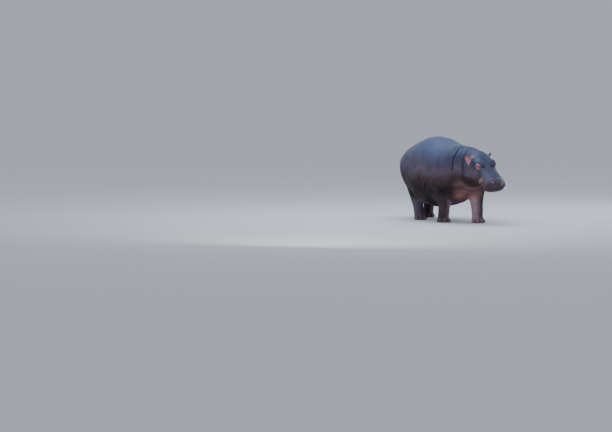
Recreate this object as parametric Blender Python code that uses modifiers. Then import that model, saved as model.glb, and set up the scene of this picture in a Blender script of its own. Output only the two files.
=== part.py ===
"""A young hippopotamus at life size, standing in mid-stride with its mouth shut.

The animal faces -Y, its left side is +X and the ground is z = 0. The trunk, head and legs are lofted
through named stations, and a voxel remesh melts them into one body. A few rounded strokes sculpt it.
It is then reduced to a light mesh and parted by thin cuts into named pieces.
"""

import math

import bmesh
import bpy
import numpy as np
from mathutils import Matrix, Vector

# ---------------------------------------------------------------- driving dimensions, in metres
GAP = 0.0004  # clearance between neighbouring pieces
VOXEL = 0.012  # grain of the melted body
BODY_TRIANGLES = 3500  # of the whole body, before it is parted

HIP_Y = 0.49  # the hind legs' place along the body, and the forelegs'
SHOULDER_Y = -0.62
LEG_SPREAD = 0.19  # feet to the midline
HIND_STRIDE = 0.235  # how far each hind foot is from under the hip
FORE_STRIDE = 0.17

HEAD_ORIGIN = Vector((0.054, -1.075, 0.940))  # between the ears
HEAD_YAW = math.radians(7)  # turned to its left
HEAD_PITCH = math.radians(29)  # nose down
HEAD_ROLL = math.radians(4)  # leaning to its right

EYE_RADIUS = 0.019
EYE_AT = (0.200, 0.150, 0.020)  # forward, sideways and up, in the head's own axes
EAR_AT = (0.000, 0.165, -0.030)
NOSTRIL_AT = (0.530, 0.058, -0.030)

EAR_LENGTH = 0.110
EAR_TILT = math.radians(24)  # outward from upright
EAR_BACK = math.radians(10)

ANKLE_HEIGHT = 0.105
# the line of the mouth from its corner forward, and the rest of the lower jaw's outline
MOUTH = (
    (0.325, -0.062),
    (0.362, -0.100),
    (0.396, -0.146),
    (0.440, -0.166),
    (0.500, -0.160),
    (0.640, -0.118),
)
JAW_BACK = ((0.640, -0.500), (0.020, -0.500), (0.070, -0.330), (0.200, -0.190))

TOES = ((-0.062, 0.030, -34), (-0.026, 0.066, -9), (0.026, 0.066, 9), (0.062, 0.030, 34))

# ---------------------------------------------------------------- the trunk and neck, station by station
# along the body (y), top, bottom, half width, height of the widest point, fullness of the section
TRUNK = (
    (0.900, 0.840, 0.720, 0.080, 0.790, 2.0),  # under the tail
    (0.865, 0.900, 0.620, 0.160, 0.775, 2.0),  # buttocks
    (0.780, 0.978, 0.500, 0.240, 0.765, 2.0),
    (0.640, 1.054, 0.390, 0.312, 0.745, 1.95),  # croup
    (0.430, 1.128, 0.280, 0.378, 0.715, 1.9),  # loin and flank
    (0.170, 1.198, 0.205, 0.424, 0.685, 1.9),  # the deepest belly
    (-0.080, 1.208, 0.197, 0.430, 0.680, 1.95),  # the highest back
    (-0.290, 1.160, 0.224, 0.412, 0.690, 2.0),
    (-0.460, 1.126, 0.256, 0.385, 0.700, 2.1),  # the dip behind the shoulder
    (-0.620, 1.112, 0.308, 0.355, 0.720, 2.1),  # withers
    (-0.780, 1.104, 0.388, 0.315, 0.750, 2.2),  # front of the chest
    (-0.900, 1.092, 0.465, 0.270, 0.770, 2.2),  # neck
    (-0.990, 1.070, 0.530, 0.230, 0.780, 2.1),
    (-1.060, 1.024, 0.590, 0.170, 0.780, 2.0),
)

# forward of the ears (u), top, bottom, half width, height of the widest point, fullness
HEAD = (
    (-0.150, 0.050, -0.240, 0.100, -0.140, 2.0),
    (-0.075, 0.096, -0.320, 0.160, -0.120, 2.4),  # nape
    (0.010, 0.102, -0.352, 0.192, -0.120, 2.6),  # poll and angle of the jaw
    (0.100, 0.084, -0.345, 0.200, -0.125, 2.6),  # jowls
    (0.190, 0.050, -0.314, 0.184, -0.122, 2.6),  # eyes
    (0.270, 0.018, -0.288, 0.168, -0.120, 2.7),
    (0.345, -0.004, -0.274, 0.158, -0.122, 2.8),  # the narrow of the face
    (0.420, -0.016, -0.268, 0.160, -0.128, 2.9),
    (0.485, -0.026, -0.252, 0.165, -0.132, 3.0),  # the broad muzzle
    (0.535, -0.036, -0.231, 0.159, -0.132, 2.9),
    (0.564, -0.058, -0.204, 0.134, -0.130, 2.6),
    (0.577, -0.090, -0.166, 0.086, -0.128, 2.1),  # lips
)

# height, half width and half length of a leg's section, and how far its centre lags behind the line
# from the joint to the foot
FORE_LEG = (
    (0.920, 0.080, 0.110, 0.020),
    (0.800, 0.135, 0.190, 0.020),  # shoulder
    (0.660, 0.152, 0.215, 0.010),
    (0.540, 0.144, 0.188, 0.002),
    (0.450, 0.126, 0.154, 0.004),  # elbow
    (0.370, 0.107, 0.124, 0.004),
    (0.290, 0.093, 0.101, 0.000),  # forearm
    (0.225, 0.085, 0.089, -0.006),  # wrist
    (0.100, 0.079, 0.083, 0.000),
    (0.055, 0.082, 0.086, 0.004),
    (0.010, 0.086, 0.089, 0.006),
    (-0.030, 0.086, 0.089, 0.006),  # trimmed flat at the sole
)
HIND_LEG = (
    (0.920, 0.090, 0.130, -0.020),
    (0.800, 0.140, 0.205, -0.020),
    (0.660, 0.155, 0.232, -0.015),  # thigh
    (0.540, 0.142, 0.204, -0.015),  # knee
    (0.430, 0.114, 0.156, 0.006),
    (0.340, 0.094, 0.118, 0.018),  # hock
    (0.250, 0.082, 0.095, 0.018),
    (0.180, 0.076, 0.082, 0.008),
    (0.120, 0.073, 0.078, 0.006),
    (0.060, 0.075, 0.081, 0.004),
    (0.010, 0.079, 0.084, 0.004),
    (-0.030, 0.079, 0.084, 0.004),  # trimmed flat at the sole
)

# height and place along the body of the tail's line, with its half thickness and half depth
TAIL = (
    (0.905, 0.790, 0.055, 0.050),
    (0.868, 0.870, 0.047, 0.046),
    (0.812, 0.918, 0.036, 0.042),
    (0.740, 0.944, 0.025, 0.038),
    (0.660, 0.948, 0.015, 0.031),
    (0.610, 0.947, 0.008, 0.018),
)


# ---------------------------------------------------------------- helpers
def start_clean():
    for old in list(bpy.data.objects):
        bpy.data.objects.remove(old, do_unlink=True)


def new_collection(name):
    made = bpy.data.collections.new(name)
    bpy.context.scene.collection.children.link(made)
    return made


def material(name, colour, roughness):
    made = bpy.data.materials.new(name)
    made.use_nodes = True
    shader = made.node_tree.nodes["Principled BSDF"]
    shader.inputs["Base Color"].default_value = (*colour, 1)
    shader.inputs["Roughness"].default_value = roughness
    shader.inputs["Metallic"].default_value = 0.0
    return made


def object_from(bm, name, collection):
    mesh = bpy.data.meshes.new(name)
    bm.to_mesh(mesh)
    bm.free()
    made = bpy.data.objects.new(name, mesh)
    collection.objects.link(made)
    return made


def applied(obj):
    """The object with its modifiers applied."""
    graph = bpy.context.evaluated_depsgraph_get()
    mesh = bpy.data.meshes.new_from_object(obj.evaluated_get(graph))
    obj.modifiers.clear()
    obj.data = mesh
    return obj


def smooth_between(rows, steps):
    """Rows of numbers made denser by a smooth curve through them all (Catmull-Rom)."""
    rows = np.array(rows, float)
    padded = np.vstack([2 * rows[0] - rows[1], rows, 2 * rows[-1] - rows[-2]])
    dense = []
    for a, b, c, d in zip(padded, padded[1:], padded[2:], padded[3:]):
        for t in np.arange(steps) / steps:
            dense.append(
                0.5 * (2 * b + (c - a) * t + (2 * a - 5 * b + 4 * c - d) * t**2 + (3 * b - a - 3 * c + d) * t**3)
            )
    return np.array([*dense, rows[-1]])


def section(top, bottom, half_width, widest, fullness, sides=40):
    """A closed rounded section, as (sideways, up) pairs."""
    ring = []
    for i in range(sides):
        c = math.cos(2 * math.pi * i / sides)
        s = math.sin(2 * math.pi * i / sides)
        across = half_width * math.copysign(abs(c) ** (2 / fullness), c)
        reach = top - widest if s > 0 else widest - bottom
        ring.append((across, widest + reach * math.copysign(abs(s) ** (2 / fullness), s)))
    return ring


def loft(name, rings, collection):
    """A closed skin of triangles over a row of rings that have the same number of points."""
    bm = bmesh.new()
    loops = [[bm.verts.new(point) for point in ring] for ring in rings]
    for near, far in zip(loops, loops[1:]):
        for i in range(len(near)):
            j = (i + 1) % len(near)
            bm.faces.new((near[i], near[j], far[j]))
            bm.faces.new((near[i], far[j], far[i]))
    bm.faces.new(reversed(loops[0]))
    bm.faces.new(loops[-1])
    bmesh.ops.recalc_face_normals(bm, faces=bm.faces)
    return object_from(bm, name, collection)


def ball(name, centre, radii, collection, turn=None, segments=24):
    """A stretched ball; turn is a 3 x 3 matrix."""
    bm = bmesh.new()
    bmesh.ops.create_uvsphere(bm, u_segments=segments, v_segments=segments // 2, radius=1)
    place = Matrix.Translation(centre) @ (turn or Matrix.Identity(3)).to_4x4() @ Matrix.Diagonal((*radii, 1))
    bmesh.ops.transform(bm, matrix=place, verts=bm.verts)
    return object_from(bm, name, collection)


# ---------------------------------------------------------------- the head's own axes
FORWARD_LEVEL = Vector((math.sin(HEAD_YAW), -math.cos(HEAD_YAW), 0))
HEAD_U = FORWARD_LEVEL * math.cos(HEAD_PITCH) - Vector((0, 0, math.sin(HEAD_PITCH)))
LEVEL_LEFT = Vector((math.cos(HEAD_YAW), math.sin(HEAD_YAW), 0))
HEAD_V = LEVEL_LEFT * math.cos(HEAD_ROLL) + HEAD_U.cross(LEVEL_LEFT) * math.sin(HEAD_ROLL)  # towards its left
HEAD_W = HEAD_U.cross(HEAD_V)
HEAD_AXES = Matrix((HEAD_U, HEAD_V, HEAD_W)).transposed()


def in_head(u, v, w):
    return HEAD_ORIGIN + HEAD_AXES @ Vector((u, v, w))


# ---------------------------------------------------------------- the rough volumes
def trunk_rings():
    rings = []
    for y, top, bottom, half_width, widest, fullness in smooth_between(TRUNK, 5):
        # the neck's stations follow the turn of the head a little
        bend = 0.55 * max(0.0, -y - 0.75) ** 2
        rings.append([(across + bend, y, up) for across, up in section(top, bottom, half_width, widest, fullness)])
    return rings


def head_rings():
    rings = []
    for u, top, bottom, half_width, widest, fullness in smooth_between(HEAD, 5):
        rings.append([in_head(u, across, up) for across, up in section(top, bottom, half_width, widest, fullness)])
    return rings


def leg_rings(stations, side, joint_y, foot_y, sides=24):
    """Level rings from the joint down to the sole."""
    rings = []
    joint_z = stations[0][0]
    for z, half_width, half_length, lag in smooth_between(stations, 4):
        rise = max(0.0, z / joint_z)
        y = foot_y + (joint_y - foot_y) * rise**1.15 + lag
        x = side * (LEG_SPREAD + 0.02 * rise)
        ring = []
        for i in range(sides):
            a = 2 * math.pi * i / sides
            ring.append((x + half_width * math.cos(a), y + half_length * math.sin(a), z))
        rings.append(ring)
    return rings


def tail_rings(sides=10):
    rings = []
    line = smooth_between(TAIL, 2)
    for (z, y, half_width, half_depth), ahead in zip(line, [*line[1:], 2 * line[-1] - line[-2]]):
        along = Vector((0, ahead[1] - y, ahead[0] - z)).normalized()
        deep = along.cross(Vector((1, 0, 0)))
        ring = []
        for i in range(sides):
            a = 2 * math.pi * i / sides
            ring.append(Vector((half_width * math.cos(a), y, z)) + deep * half_depth * math.sin(a))
        rings.append(ring)
    return rings


FEET = {
    "fore_left": (1, SHOULDER_Y, SHOULDER_Y - FORE_STRIDE, FORE_LEG, 1.0),
    "fore_right": (-1, SHOULDER_Y, SHOULDER_Y + FORE_STRIDE, FORE_LEG, 1.0),
    "hind_left": (1, HIP_Y, HIP_Y + HIND_STRIDE, HIND_LEG, 0.92),
    "hind_right": (-1, HIP_Y, HIP_Y - HIND_STRIDE, HIND_LEG, 0.92),
}


def toe_place(side, foot_y, toe, size):
    """Centre and heading of one toe, splayed from the middle of the foot."""
    across, ahead, splay = toe
    x = side * LEG_SPREAD + across * size
    y = foot_y - ahead * size
    return x, y, math.radians(splay)


def rough_volumes(collection):
    made = [
        loft("trunk_volume", trunk_rings(), collection),
        loft("head_volume", head_rings(), collection),
    ]
    for name, (side, joint_y, foot_y, stations, size) in FEET.items():
        made.append(loft(name + "_volume", leg_rings(stations, side, joint_y, foot_y), collection))
        for toe in TOES:
            x, y, turn = toe_place(side, foot_y, toe, size)
            made.append(
                ball(
                    name + "_toe_volume",
                    (x, y, 0.028),
                    (0.029 * size, 0.040 * size, 0.034),
                    collection,
                    Matrix.Rotation(turn, 3, "Z"),
                    16,
                )
            )
    return made


def melted(parts, name, collection):
    """One closed mesh over all the volumes, of even grain."""
    bm = bmesh.new()
    for part in parts:
        bm.from_mesh(part.data)
    body = object_from(bm, name, collection)
    for part in parts:
        bpy.data.objects.remove(part)
    remesh = body.modifiers.new("melt", "REMESH")
    remesh.mode = "VOXEL"
    remesh.voxel_size = VOXEL
    return applied(body)


# ---------------------------------------------------------------- sculpting
def points_of(obj):
    co = np.empty(len(obj.data.vertices) * 3)
    obj.data.vertices.foreach_get("co", co)
    return co.reshape(-1, 3)


def set_points(obj, co):
    obj.data.vertices.foreach_set("co", co.ravel())
    obj.data.update()


def normals_of(obj):
    normals = np.empty(len(obj.data.vertices) * 3)
    obj.data.vertex_normals.foreach_get("vector", normals)
    return normals.reshape(-1, 3)


def relax(obj, rounds, weight):
    """Evens out the surface. weight is one share for each point, or one for all."""
    edges = np.empty(len(obj.data.edges) * 2, np.int64)
    obj.data.edges.foreach_get("vertices", edges)
    a, b = edges.reshape(-1, 2).T
    co = points_of(obj)
    count = np.bincount(np.concatenate([a, b]), minlength=len(co))[:, None]
    share = np.broadcast_to(np.asarray(weight, float).reshape(-1, 1), (len(co), 1))
    for turn in range(2 * rounds):
        total = np.stack([np.bincount(a, co[b, k], len(co)) + np.bincount(b, co[a, k], len(co)) for k in range(3)], 1)
        # a step in and a longer step back out keeps the volume
        co = co + share * (0.60 if turn % 2 == 0 else -0.50) * (total / count - co)
    set_points(obj, co)


def near(co, centre, radii, axes=None):
    """1 at the centre of a rounded region, falling softly to 0 beyond its radii."""
    away = co - np.array(centre)
    if axes is not None:
        away = away @ np.array(axes)
    return np.exp(-2 * ((away / np.array(radii)) ** 2).sum(1))


def push(body, place, radii, shift, both=True):
    """Moves a soft region of the head by a shift in the head's own axes, on both sides alike."""
    for side in (1, -1) if both else (1,):
        u, v, w = place
        co = points_of(body)
        share = near(co, in_head(u, side * v, w), radii, HEAD_AXES)
        forward, outward, upward = shift
        move = HEAD_AXES @ Vector((forward, side * outward, upward))
        set_points(body, co + share[:, None] * np.array(move))


def sculpt(body):
    """Soft joints where the volumes meet, then the raised brows, nostrils and lips."""
    co = points_of(body)
    in_u = (co - np.array(HEAD_ORIGIN)) @ np.array(HEAD_U)
    on_head = np.clip((in_u + 0.02) / 0.10, 0, 1)
    low = np.clip((0.16 - co[:, 2]) / 0.06, 0, 1)
    relax(body, 16, 1 - np.maximum(0.60 * on_head, 0.86 * low))
    u, v, w = EYE_AT
    push(body, (u - 0.010, v - 0.036, w + 0.012), (0.078, 0.056, 0.056), (0.0, 0.034, 0.026))
    push(body, (u - 0.045, v - 0.050, w + 0.030), (0.080, 0.060, 0.060), (0.0, 0.006, 0.014))
    push(body, (u + 0.095, v - 0.020, w - 0.050), (0.060, 0.050, 0.060), (0.0, -0.010, -0.004))
    u, v, w = NOSTRIL_AT
    push(body, (u - 0.010, v + 0.004, w + 0.004), (0.052, 0.042, 0.045), (0.008, 0.004, 0.022))
    push(body, (u, 0, w), (0.070, 0.022, 0.050), (-0.006, 0.0, -0.008), both=False)
    push(body, (0.470, 0.150, -0.120), (0.090, 0.060, 0.070), (0.004, 0.012, -0.004))
    push(body, (0.060, 0.170, -0.240), (0.120, 0.070, 0.110), (0.0, 0.026, -0.012))
    relax(body, 3, 0.6)


# ---------------------------------------------------------------- parting
def lightened(body):
    """Fewer, larger triangles, finest on the head and feet."""
    co = points_of(body)
    in_u = (co - np.array(HEAD_ORIGIN)) @ np.array(HEAD_U)
    fine = np.maximum(np.clip((in_u + 0.05) / 0.10, 0, 1), np.clip((0.14 - co[:, 2]) / 0.05, 0, 1))
    group = body.vertex_groups.new(name="coarse")
    for index, share in enumerate(fine):
        group.add([index], 1 - 0.25 * float(share), "REPLACE")
    triangles = sum(len(face.vertices) - 2 for face in body.data.polygons)
    thin = body.modifiers.new("lighten", "DECIMATE")
    thin.vertex_group = "coarse"
    thin.vertex_group_factor = 1.0
    thin.ratio = BODY_TRIANGLES / triangles
    return applied(body)


def copy_of(obj, name):
    made = bpy.data.objects.new(name, obj.data.copy())
    obj.users_collection[0].objects.link(made)
    return made


def boolean(obj, cutter, operation):
    """The object cut by, or kept within, the cutter."""
    modifier = obj.modifiers.new(operation.lower(), "BOOLEAN")
    modifier.operation = operation
    modifier.object = cutter
    return applied(obj)


def biggest_island(obj):
    """Leaves only the largest connected shell."""
    bm = bmesh.new()
    bm.from_mesh(obj.data)
    left = set(bm.verts)
    islands = []
    while left:
        island = set()
        todo = [left.pop()]
        while todo:
            vert = todo.pop()
            island.add(vert)
            for edge in vert.link_edges:
                other = edge.other_vert(vert)
                if other in left:
                    left.discard(other)
                    todo.append(other)
        islands.append(island)
    islands.sort(key=len)
    for island in islands[:-1]:
        bmesh.ops.delete(bm, geom=list(island), context="VERTS")
    bm.to_mesh(obj.data)
    bm.free()
    return obj


def trimmed(obj, point, normal):
    """What lies behind the plane, closed with a flat face."""
    bm = bmesh.new()
    bmesh.ops.create_cube(bm, size=6)
    turn = Vector(normal).to_track_quat("Z", "Y").to_matrix().to_4x4()
    place = Matrix.Translation(point) @ turn @ Matrix.Translation((0, 0, -3))
    bmesh.ops.transform(bm, matrix=place, verts=bm.verts)
    behind = object_from(bm, "behind", bpy.data.collections["cutters"])
    boolean(obj, behind, "INTERSECT")
    bpy.data.objects.remove(behind)
    return obj


def parted(obj, point, normal, name):
    """Splits off what lies ahead of the plane, as a piece of its own."""
    point = Vector(point)
    normal = Vector(normal).normalized()
    ahead = copy_of(obj, name)
    trimmed(obj, point - normal * GAP / 2, normal)
    trimmed(ahead, point + normal * GAP / 2, -normal)
    return ahead


def swollen(obj, name, by):
    """A copy grown along its normals, used to clear a gap around a piece."""
    made = copy_of(obj, name)
    set_points(made, points_of(made) + normals_of(made) * by)
    return made


def leg_cutter(name, side, joint_y, foot_y, stations, grow, collection):
    """Everything that belongs to one leg: a tall dome that leans as the leg does."""
    rings = []
    for z in (-0.10, 0.16, 0.32, 0.44, 0.55, 0.65, 0.72, 0.77, 0.795):
        rise = max(0.0, z / stations[0][0])
        y = foot_y + (joint_y - foot_y) * rise**1.15
        dome = math.sqrt(max(0.0, 1 - max(0.0, (z - 0.42) / 0.38) ** 2.4))
        half_length = (0.135 + 0.21 * min(1.0, max(0.0, z) / 0.42)) * (0.10 + 0.90 * dome)
        half_width = 0.30 * (0.30 + 0.70 * dome)
        ring = []
        for i in range(14):
            a = 2 * math.pi * i / 14
            x = side * (0.355 + (0.5 - 0.5 * dome) * 0.05) + (half_width + grow) * math.cos(a)
            ring.append((x, y + (half_length + grow) * math.sin(a), z + (grow if z > 0.74 else 0)))
        rings.append(ring)
    return loft(name, rings, collection)


def outline_offset(outline, by):
    """The closed outline moved inward by a distance, corner by corner."""
    moved = []
    count = len(outline)
    for i in range(count):
        here = Vector(outline[i])
        before = (here - Vector(outline[i - 1])).normalized()
        after = (Vector(outline[(i + 1) % count]) - here).normalized()
        inward = Vector((before.y, -before.x)) + Vector((after.y, -after.x))
        moved.append(here + inward * by / (1 + before.dot(after)))
    return moved


def jaw_cutter(name, inward, collection):
    """A prism across the head, below the line of the mouth."""
    outline = outline_offset([*MOUTH, *JAW_BACK], inward)
    rings = [[in_head(u, across, w) for u, w in outline] for across in (-0.4, 0.4)]
    return loft(name, rings, collection)


# ---------------------------------------------------------------- ears, tail and nails
def ear(name, side, collection):
    """A small cupped ear on a short stalk, open forward and outward."""
    outward = HEAD_V * side
    up = (HEAD_W * math.cos(EAR_TILT) + outward * math.sin(EAR_TILT) - HEAD_U * math.sin(EAR_BACK)).normalized()
    open_to = (HEAD_U * 0.80 + outward * 0.60).normalized()
    open_to = (open_to - up * open_to.dot(up)).normalized()
    across = up.cross(open_to)
    root = in_head(EAR_AT[0], side * EAR_AT[1], EAR_AT[2])
    # height along the ear, half width, thickness, and depth of the cup
    rows = (
        (-0.30, 0.024, 0.020, 0.000),
        (0.00, 0.025, 0.020, 0.002),
        (0.20, 0.034, 0.015, 0.011),
        (0.42, 0.043, 0.011, 0.017),
        (0.62, 0.045, 0.009, 0.016),
        (0.80, 0.038, 0.008, 0.012),
        (0.93, 0.024, 0.006, 0.006),
        (1.00, 0.009, 0.004, 0.001),
    )
    rings = []
    for height, half_width, thickness, cup in rows:
        middle = root + up * height * EAR_LENGTH
        ring = []
        for i in range(8):
            a = math.pi * i / 7
            ring.append(middle + across * half_width * math.cos(a) - open_to * (cup + thickness) * math.sin(a))
        for i in range(1, 7):
            a = math.pi * (1 - i / 7)
            inner = max(0.1, 1 - thickness / (2.5 * half_width))
            ring.append(
                middle + across * half_width * inner * math.cos(a) - open_to * (cup - 0.35 * thickness) * math.sin(a)
            )
        rings.append(ring)
    return loft(name, rings, collection)


def nail(name, side, foot_y, toe, size, grow, collection):
    """A blunt rounded nail at the tip of a toe, clear of the ground."""
    x, y, turn = toe_place(side, foot_y, toe, size)
    heading = Vector((math.sin(turn), -math.cos(turn), 0))
    centre = Vector((x, y, 0.024)) + heading * 0.0335 * size
    radii = (0.0185 * size + grow, 0.010 + grow, 0.0175 + grow)
    return ball(name, centre, radii, collection, Matrix.Rotation(turn, 3, "Z"), 8)


# ---------------------------------------------------------------- main
def drop(*objects):
    for obj in objects:
        bpy.data.objects.remove(obj)


def part_legs(body, pieces, helpers):
    made = {}
    for name, (side, joint_y, foot_y, stations, size) in FEET.items():
        inner = leg_cutter(name + "_cut", side, joint_y, foot_y, stations, -GAP, helpers)
        outer = leg_cutter(name + "_clear", side, joint_y, foot_y, stations, 0.0, helpers)
        leg = boolean(copy_of(body, "leg_" + name), inner, "INTERSECT")
        boolean(body, outer, "DIFFERENCE")
        drop(inner, outer)
        biggest_island(leg)
        foot = parted(leg, (0, 0, ANKLE_HEIGHT), (0, 0, -1), "foot_" + name)
        made[leg.name] = leg
        made[foot.name] = foot
        for number, toe in enumerate(TOES, 1):
            socket = nail("socket", side, foot_y, toe, size, GAP, helpers)
            boolean(foot, socket, "DIFFERENCE")
            drop(socket)
            piece = nail(f"nail_{name}_{number}", side, foot_y, toe, size, 0.0, pieces)
            made[piece.name] = piece
    biggest_island(body)
    return made


def part_head(head, pieces, helpers):
    made = {}
    clear = swollen(head, "head_clear", GAP)
    for side, name in ((1, "left"), (-1, "right")):
        piece = boolean(ear("ear_" + name, side, pieces), clear, "DIFFERENCE")
        made[piece.name] = biggest_island(piece)
        u, v, w = EYE_AT
        place = in_head(u, side * v, w)
        socket = ball("socket", place, (EYE_RADIUS + GAP,) * 3, helpers, HEAD_AXES, 14)
        boolean(head, socket, "DIFFERENCE")
        drop(socket)
        made["eye_" + name] = ball("eye_" + name, place, (EYE_RADIUS,) * 3, pieces, HEAD_AXES, 14)
    drop(clear)
    inner = jaw_cutter("jaw_cut", GAP, helpers)
    outer = jaw_cutter("jaw_clear", 0.0, helpers)
    jaw = boolean(copy_of(head, "lower_jaw"), inner, "INTERSECT")
    boolean(head, outer, "DIFFERENCE")
    drop(inner, outer)
    made["lower_jaw"] = biggest_island(jaw)
    made["head"] = biggest_island(head)
    return made


COLOURS = {
    "hide": ((0.072, 0.072, 0.098), 0.42),
    "ear_skin": ((0.270, 0.140, 0.130), 0.50),
    "eye": ((0.020, 0.012, 0.010), 0.08),
    "nail": ((0.060, 0.048, 0.044), 0.40),
}


def main():
    start_clean()
    pieces = new_collection("hippopotamus")
    helpers = new_collection("cutters")
    helpers.hide_render = True
    body = melted(rough_volumes(pieces), "trunk", pieces)
    sculpt(body)
    lightened(body)
    trimmed(body, (0, 0, 0), (0, 0, -1))
    made = part_legs(body, pieces, helpers)
    neck = parted(body, (0, -0.745, 1.12), (0, -0.66, 0.235), "neck")
    head = parted(neck, in_head(-0.045, 0, 0), HEAD_U + HEAD_W * 0.10, "head")
    made.update(part_head(head, pieces, helpers))
    clear = swollen(body, "trunk_clear", GAP)
    tail = biggest_island(boolean(loft("tail", tail_rings(), pieces), clear, "DIFFERENCE"))
    drop(clear)
    made.update({"tail": tail, "neck": neck, "trunk": body})

    palette = {name: material(name, *look) for name, look in COLOURS.items()}
    for name, piece in made.items():
        kind = name.split("_")[0]
        slot = {"ear": "ear_skin", "eye": "eye", "nail": "nail"}.get(kind, "hide")
        piece.data.materials.clear()
        piece.data.materials.append(palette[slot])

    # the middle of the whole outline goes over the origin
    corners = np.concatenate([points_of(piece) for piece in made.values()])
    middle = (corners.min(0) + corners.max(0)) / 2
    for piece in made.values():
        set_points(piece, points_of(piece) - np.array((middle[0], middle[1], 0)))
    print("moved by", [round(float(-v), 4) for v in middle[:2]])


main()
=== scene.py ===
# %% [markdown]
# # A young hippopotamus, dressed
# The solids of this animal are plain: they hold its outline, its weight and the parting of its limbs.
# This script gives them one living hide, with its folds, lids, nostrils and bristles, and then glossy
# eyes, horny nails, a floor, soft lamps and a camera.
# Everything stands in metres in the solids' own frame. The animal faces -Y, its left side is +X and
# the floor is z = 0.

# %% The frame
import math

import bmesh
import bpy
import numpy as np
from mathutils import Matrix, Vector


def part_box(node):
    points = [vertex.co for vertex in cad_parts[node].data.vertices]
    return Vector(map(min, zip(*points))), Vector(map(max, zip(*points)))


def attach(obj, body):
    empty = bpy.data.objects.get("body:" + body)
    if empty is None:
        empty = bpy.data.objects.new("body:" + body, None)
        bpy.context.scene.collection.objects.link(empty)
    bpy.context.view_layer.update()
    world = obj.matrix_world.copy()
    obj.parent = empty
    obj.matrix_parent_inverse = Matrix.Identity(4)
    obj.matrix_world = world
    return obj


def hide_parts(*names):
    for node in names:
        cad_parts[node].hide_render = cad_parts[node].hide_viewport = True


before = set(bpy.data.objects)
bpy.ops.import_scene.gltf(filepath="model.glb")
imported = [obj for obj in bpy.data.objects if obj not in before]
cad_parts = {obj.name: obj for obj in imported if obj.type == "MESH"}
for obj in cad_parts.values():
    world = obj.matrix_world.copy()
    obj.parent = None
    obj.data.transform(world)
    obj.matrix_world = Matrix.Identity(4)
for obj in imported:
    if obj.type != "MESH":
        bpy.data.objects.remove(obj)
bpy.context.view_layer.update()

# %% [markdown]
# ## The head's own axes
# A hippopotamus carries its head low and a little to one side, so eyes, nostrils and mouth are far
# easier to place along the head's own three axes: forward to the lips, across to its left, and up out
# of the brow. The line between the two eyes gives the sideways axis, and the tilt of the nose the rest.

# %% Head axes
HEAD_PITCH = math.radians(29)  # nose down
EYE_FORWARD = 0.200  # the eyes' place in the head's axes, whose origin is between the ears
EYE_UP = 0.020


def centre(node):
    low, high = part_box(node)
    return (low + high) / 2


ACROSS = (centre("eye_left") - centre("eye_right")).normalized()
LEVEL = Vector((ACROSS.y, -ACROSS.x, 0)).normalized()  # level, and square to the line of the eyes
RISING = LEVEL.cross(ACROSS)
DIP = math.asin(math.sin(HEAD_PITCH) / RISING.z)
FORWARD = LEVEL * math.cos(DIP) - RISING * math.sin(DIP)
UPWARD = FORWARD.cross(ACROSS)
BETWEEN_EYES = (centre("eye_left") + centre("eye_right")) / 2
HEAD_ORIGIN = BETWEEN_EYES - FORWARD * EYE_FORWARD - UPWARD * EYE_UP
EYE_ACROSS = (centre("eye_left") - centre("eye_right")).length / 2
EYE_RADIUS = (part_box("eye_left")[1].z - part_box("eye_left")[0].z) / 2
HEAD_TURN = np.array([FORWARD, ACROSS, UPWARD])


def in_head(u, v, w):
    """A point given forward, to the left and up in the head's axes, as a point of the frame."""
    return HEAD_ORIGIN + FORWARD * u + ACROSS * v + UPWARD * w


def head_axes(points):
    """Points of the frame as forward, left and up in the head's axes."""
    return (points - np.array(HEAD_ORIGIN)) @ HEAD_TURN.T


print("eyes", round(EYE_ACROSS * 2, 3), "m apart, radius", round(EYE_RADIUS, 4))

# %% [markdown]
# ## Working on a skin as numbers
# A skin of a hundred thousand points is too many to move one at a time. Its points are read into an
# array, moved together and written back, much as a sculptor's brush moves all the clay beneath it.


# %% Helpers for whole meshes
def shown(name, mesh):
    piece = bpy.data.objects.new(name, mesh)
    bpy.context.scene.collection.objects.link(piece)
    return piece


def settled(piece):
    """The piece with its modifiers made permanent."""
    graph = bpy.context.evaluated_depsgraph_get()
    mesh = bpy.data.meshes.new_from_object(piece.evaluated_get(graph))
    piece.modifiers.clear()
    piece.data = mesh
    return piece


def points_of(mesh):
    flat = np.empty(len(mesh.vertices) * 3, np.float32)
    mesh.vertices.foreach_get("co", flat)
    return flat.reshape(-1, 3).astype(float)


def place(mesh, points):
    mesh.vertices.foreach_set("co", points.astype(np.float32).ravel())
    mesh.update()


def normals_of(mesh):
    flat = np.empty(len(mesh.vertices) * 3, np.float32)
    mesh.vertex_normals.foreach_get("vector", flat)
    return flat.reshape(-1, 3).astype(float)


def edges_of(mesh):
    flat = np.empty(len(mesh.edges) * 2, np.int32)
    mesh.edges.foreach_get("vertices", flat)
    return flat.reshape(-1, 2).T


def ramp(value, start, end):
    """0 before start, 1 past end, and an even curve between them."""
    t = np.clip((value - start) / (end - start), 0, 1)
    return t * t * (3 - 2 * t)


def spread(values, edges, rounds, share):
    """Each point's value moves towards its neighbours' mean, by its own share."""
    a, b = edges
    size = len(values)
    count = (np.bincount(a, minlength=size) + np.bincount(b, minlength=size)).clip(1)
    for _ in range(rounds):
        total = [np.bincount(a, column[b], size) + np.bincount(b, column[a], size) for column in values.T]
        values = values + share[:, None] * (np.stack(total, 1) / count[:, None] - values)
    return values


def eased(mesh, rounds, share):
    """Smooths the mesh, and gives back the bulk that smoothing takes away."""
    edges = edges_of(mesh)
    points = points_of(mesh)
    soft = spread(points, edges, rounds, share)
    place(mesh, soft + spread(points - soft, edges, rounds, share))


# %% [markdown]
# ## One skin from many pieces
# On the animal there is no seam between head, neck and trunk. Sewing neighbouring patches together
# would leave lines, so the pieces are swollen by a hair until they overlap, and a voxel remesh then
# skins the whole heap at once. The eyes go in too, so that the lids start out stretched over them,
# and the thin ears are swollen more than the rest, to the fleshy rims that they have in life.

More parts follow.
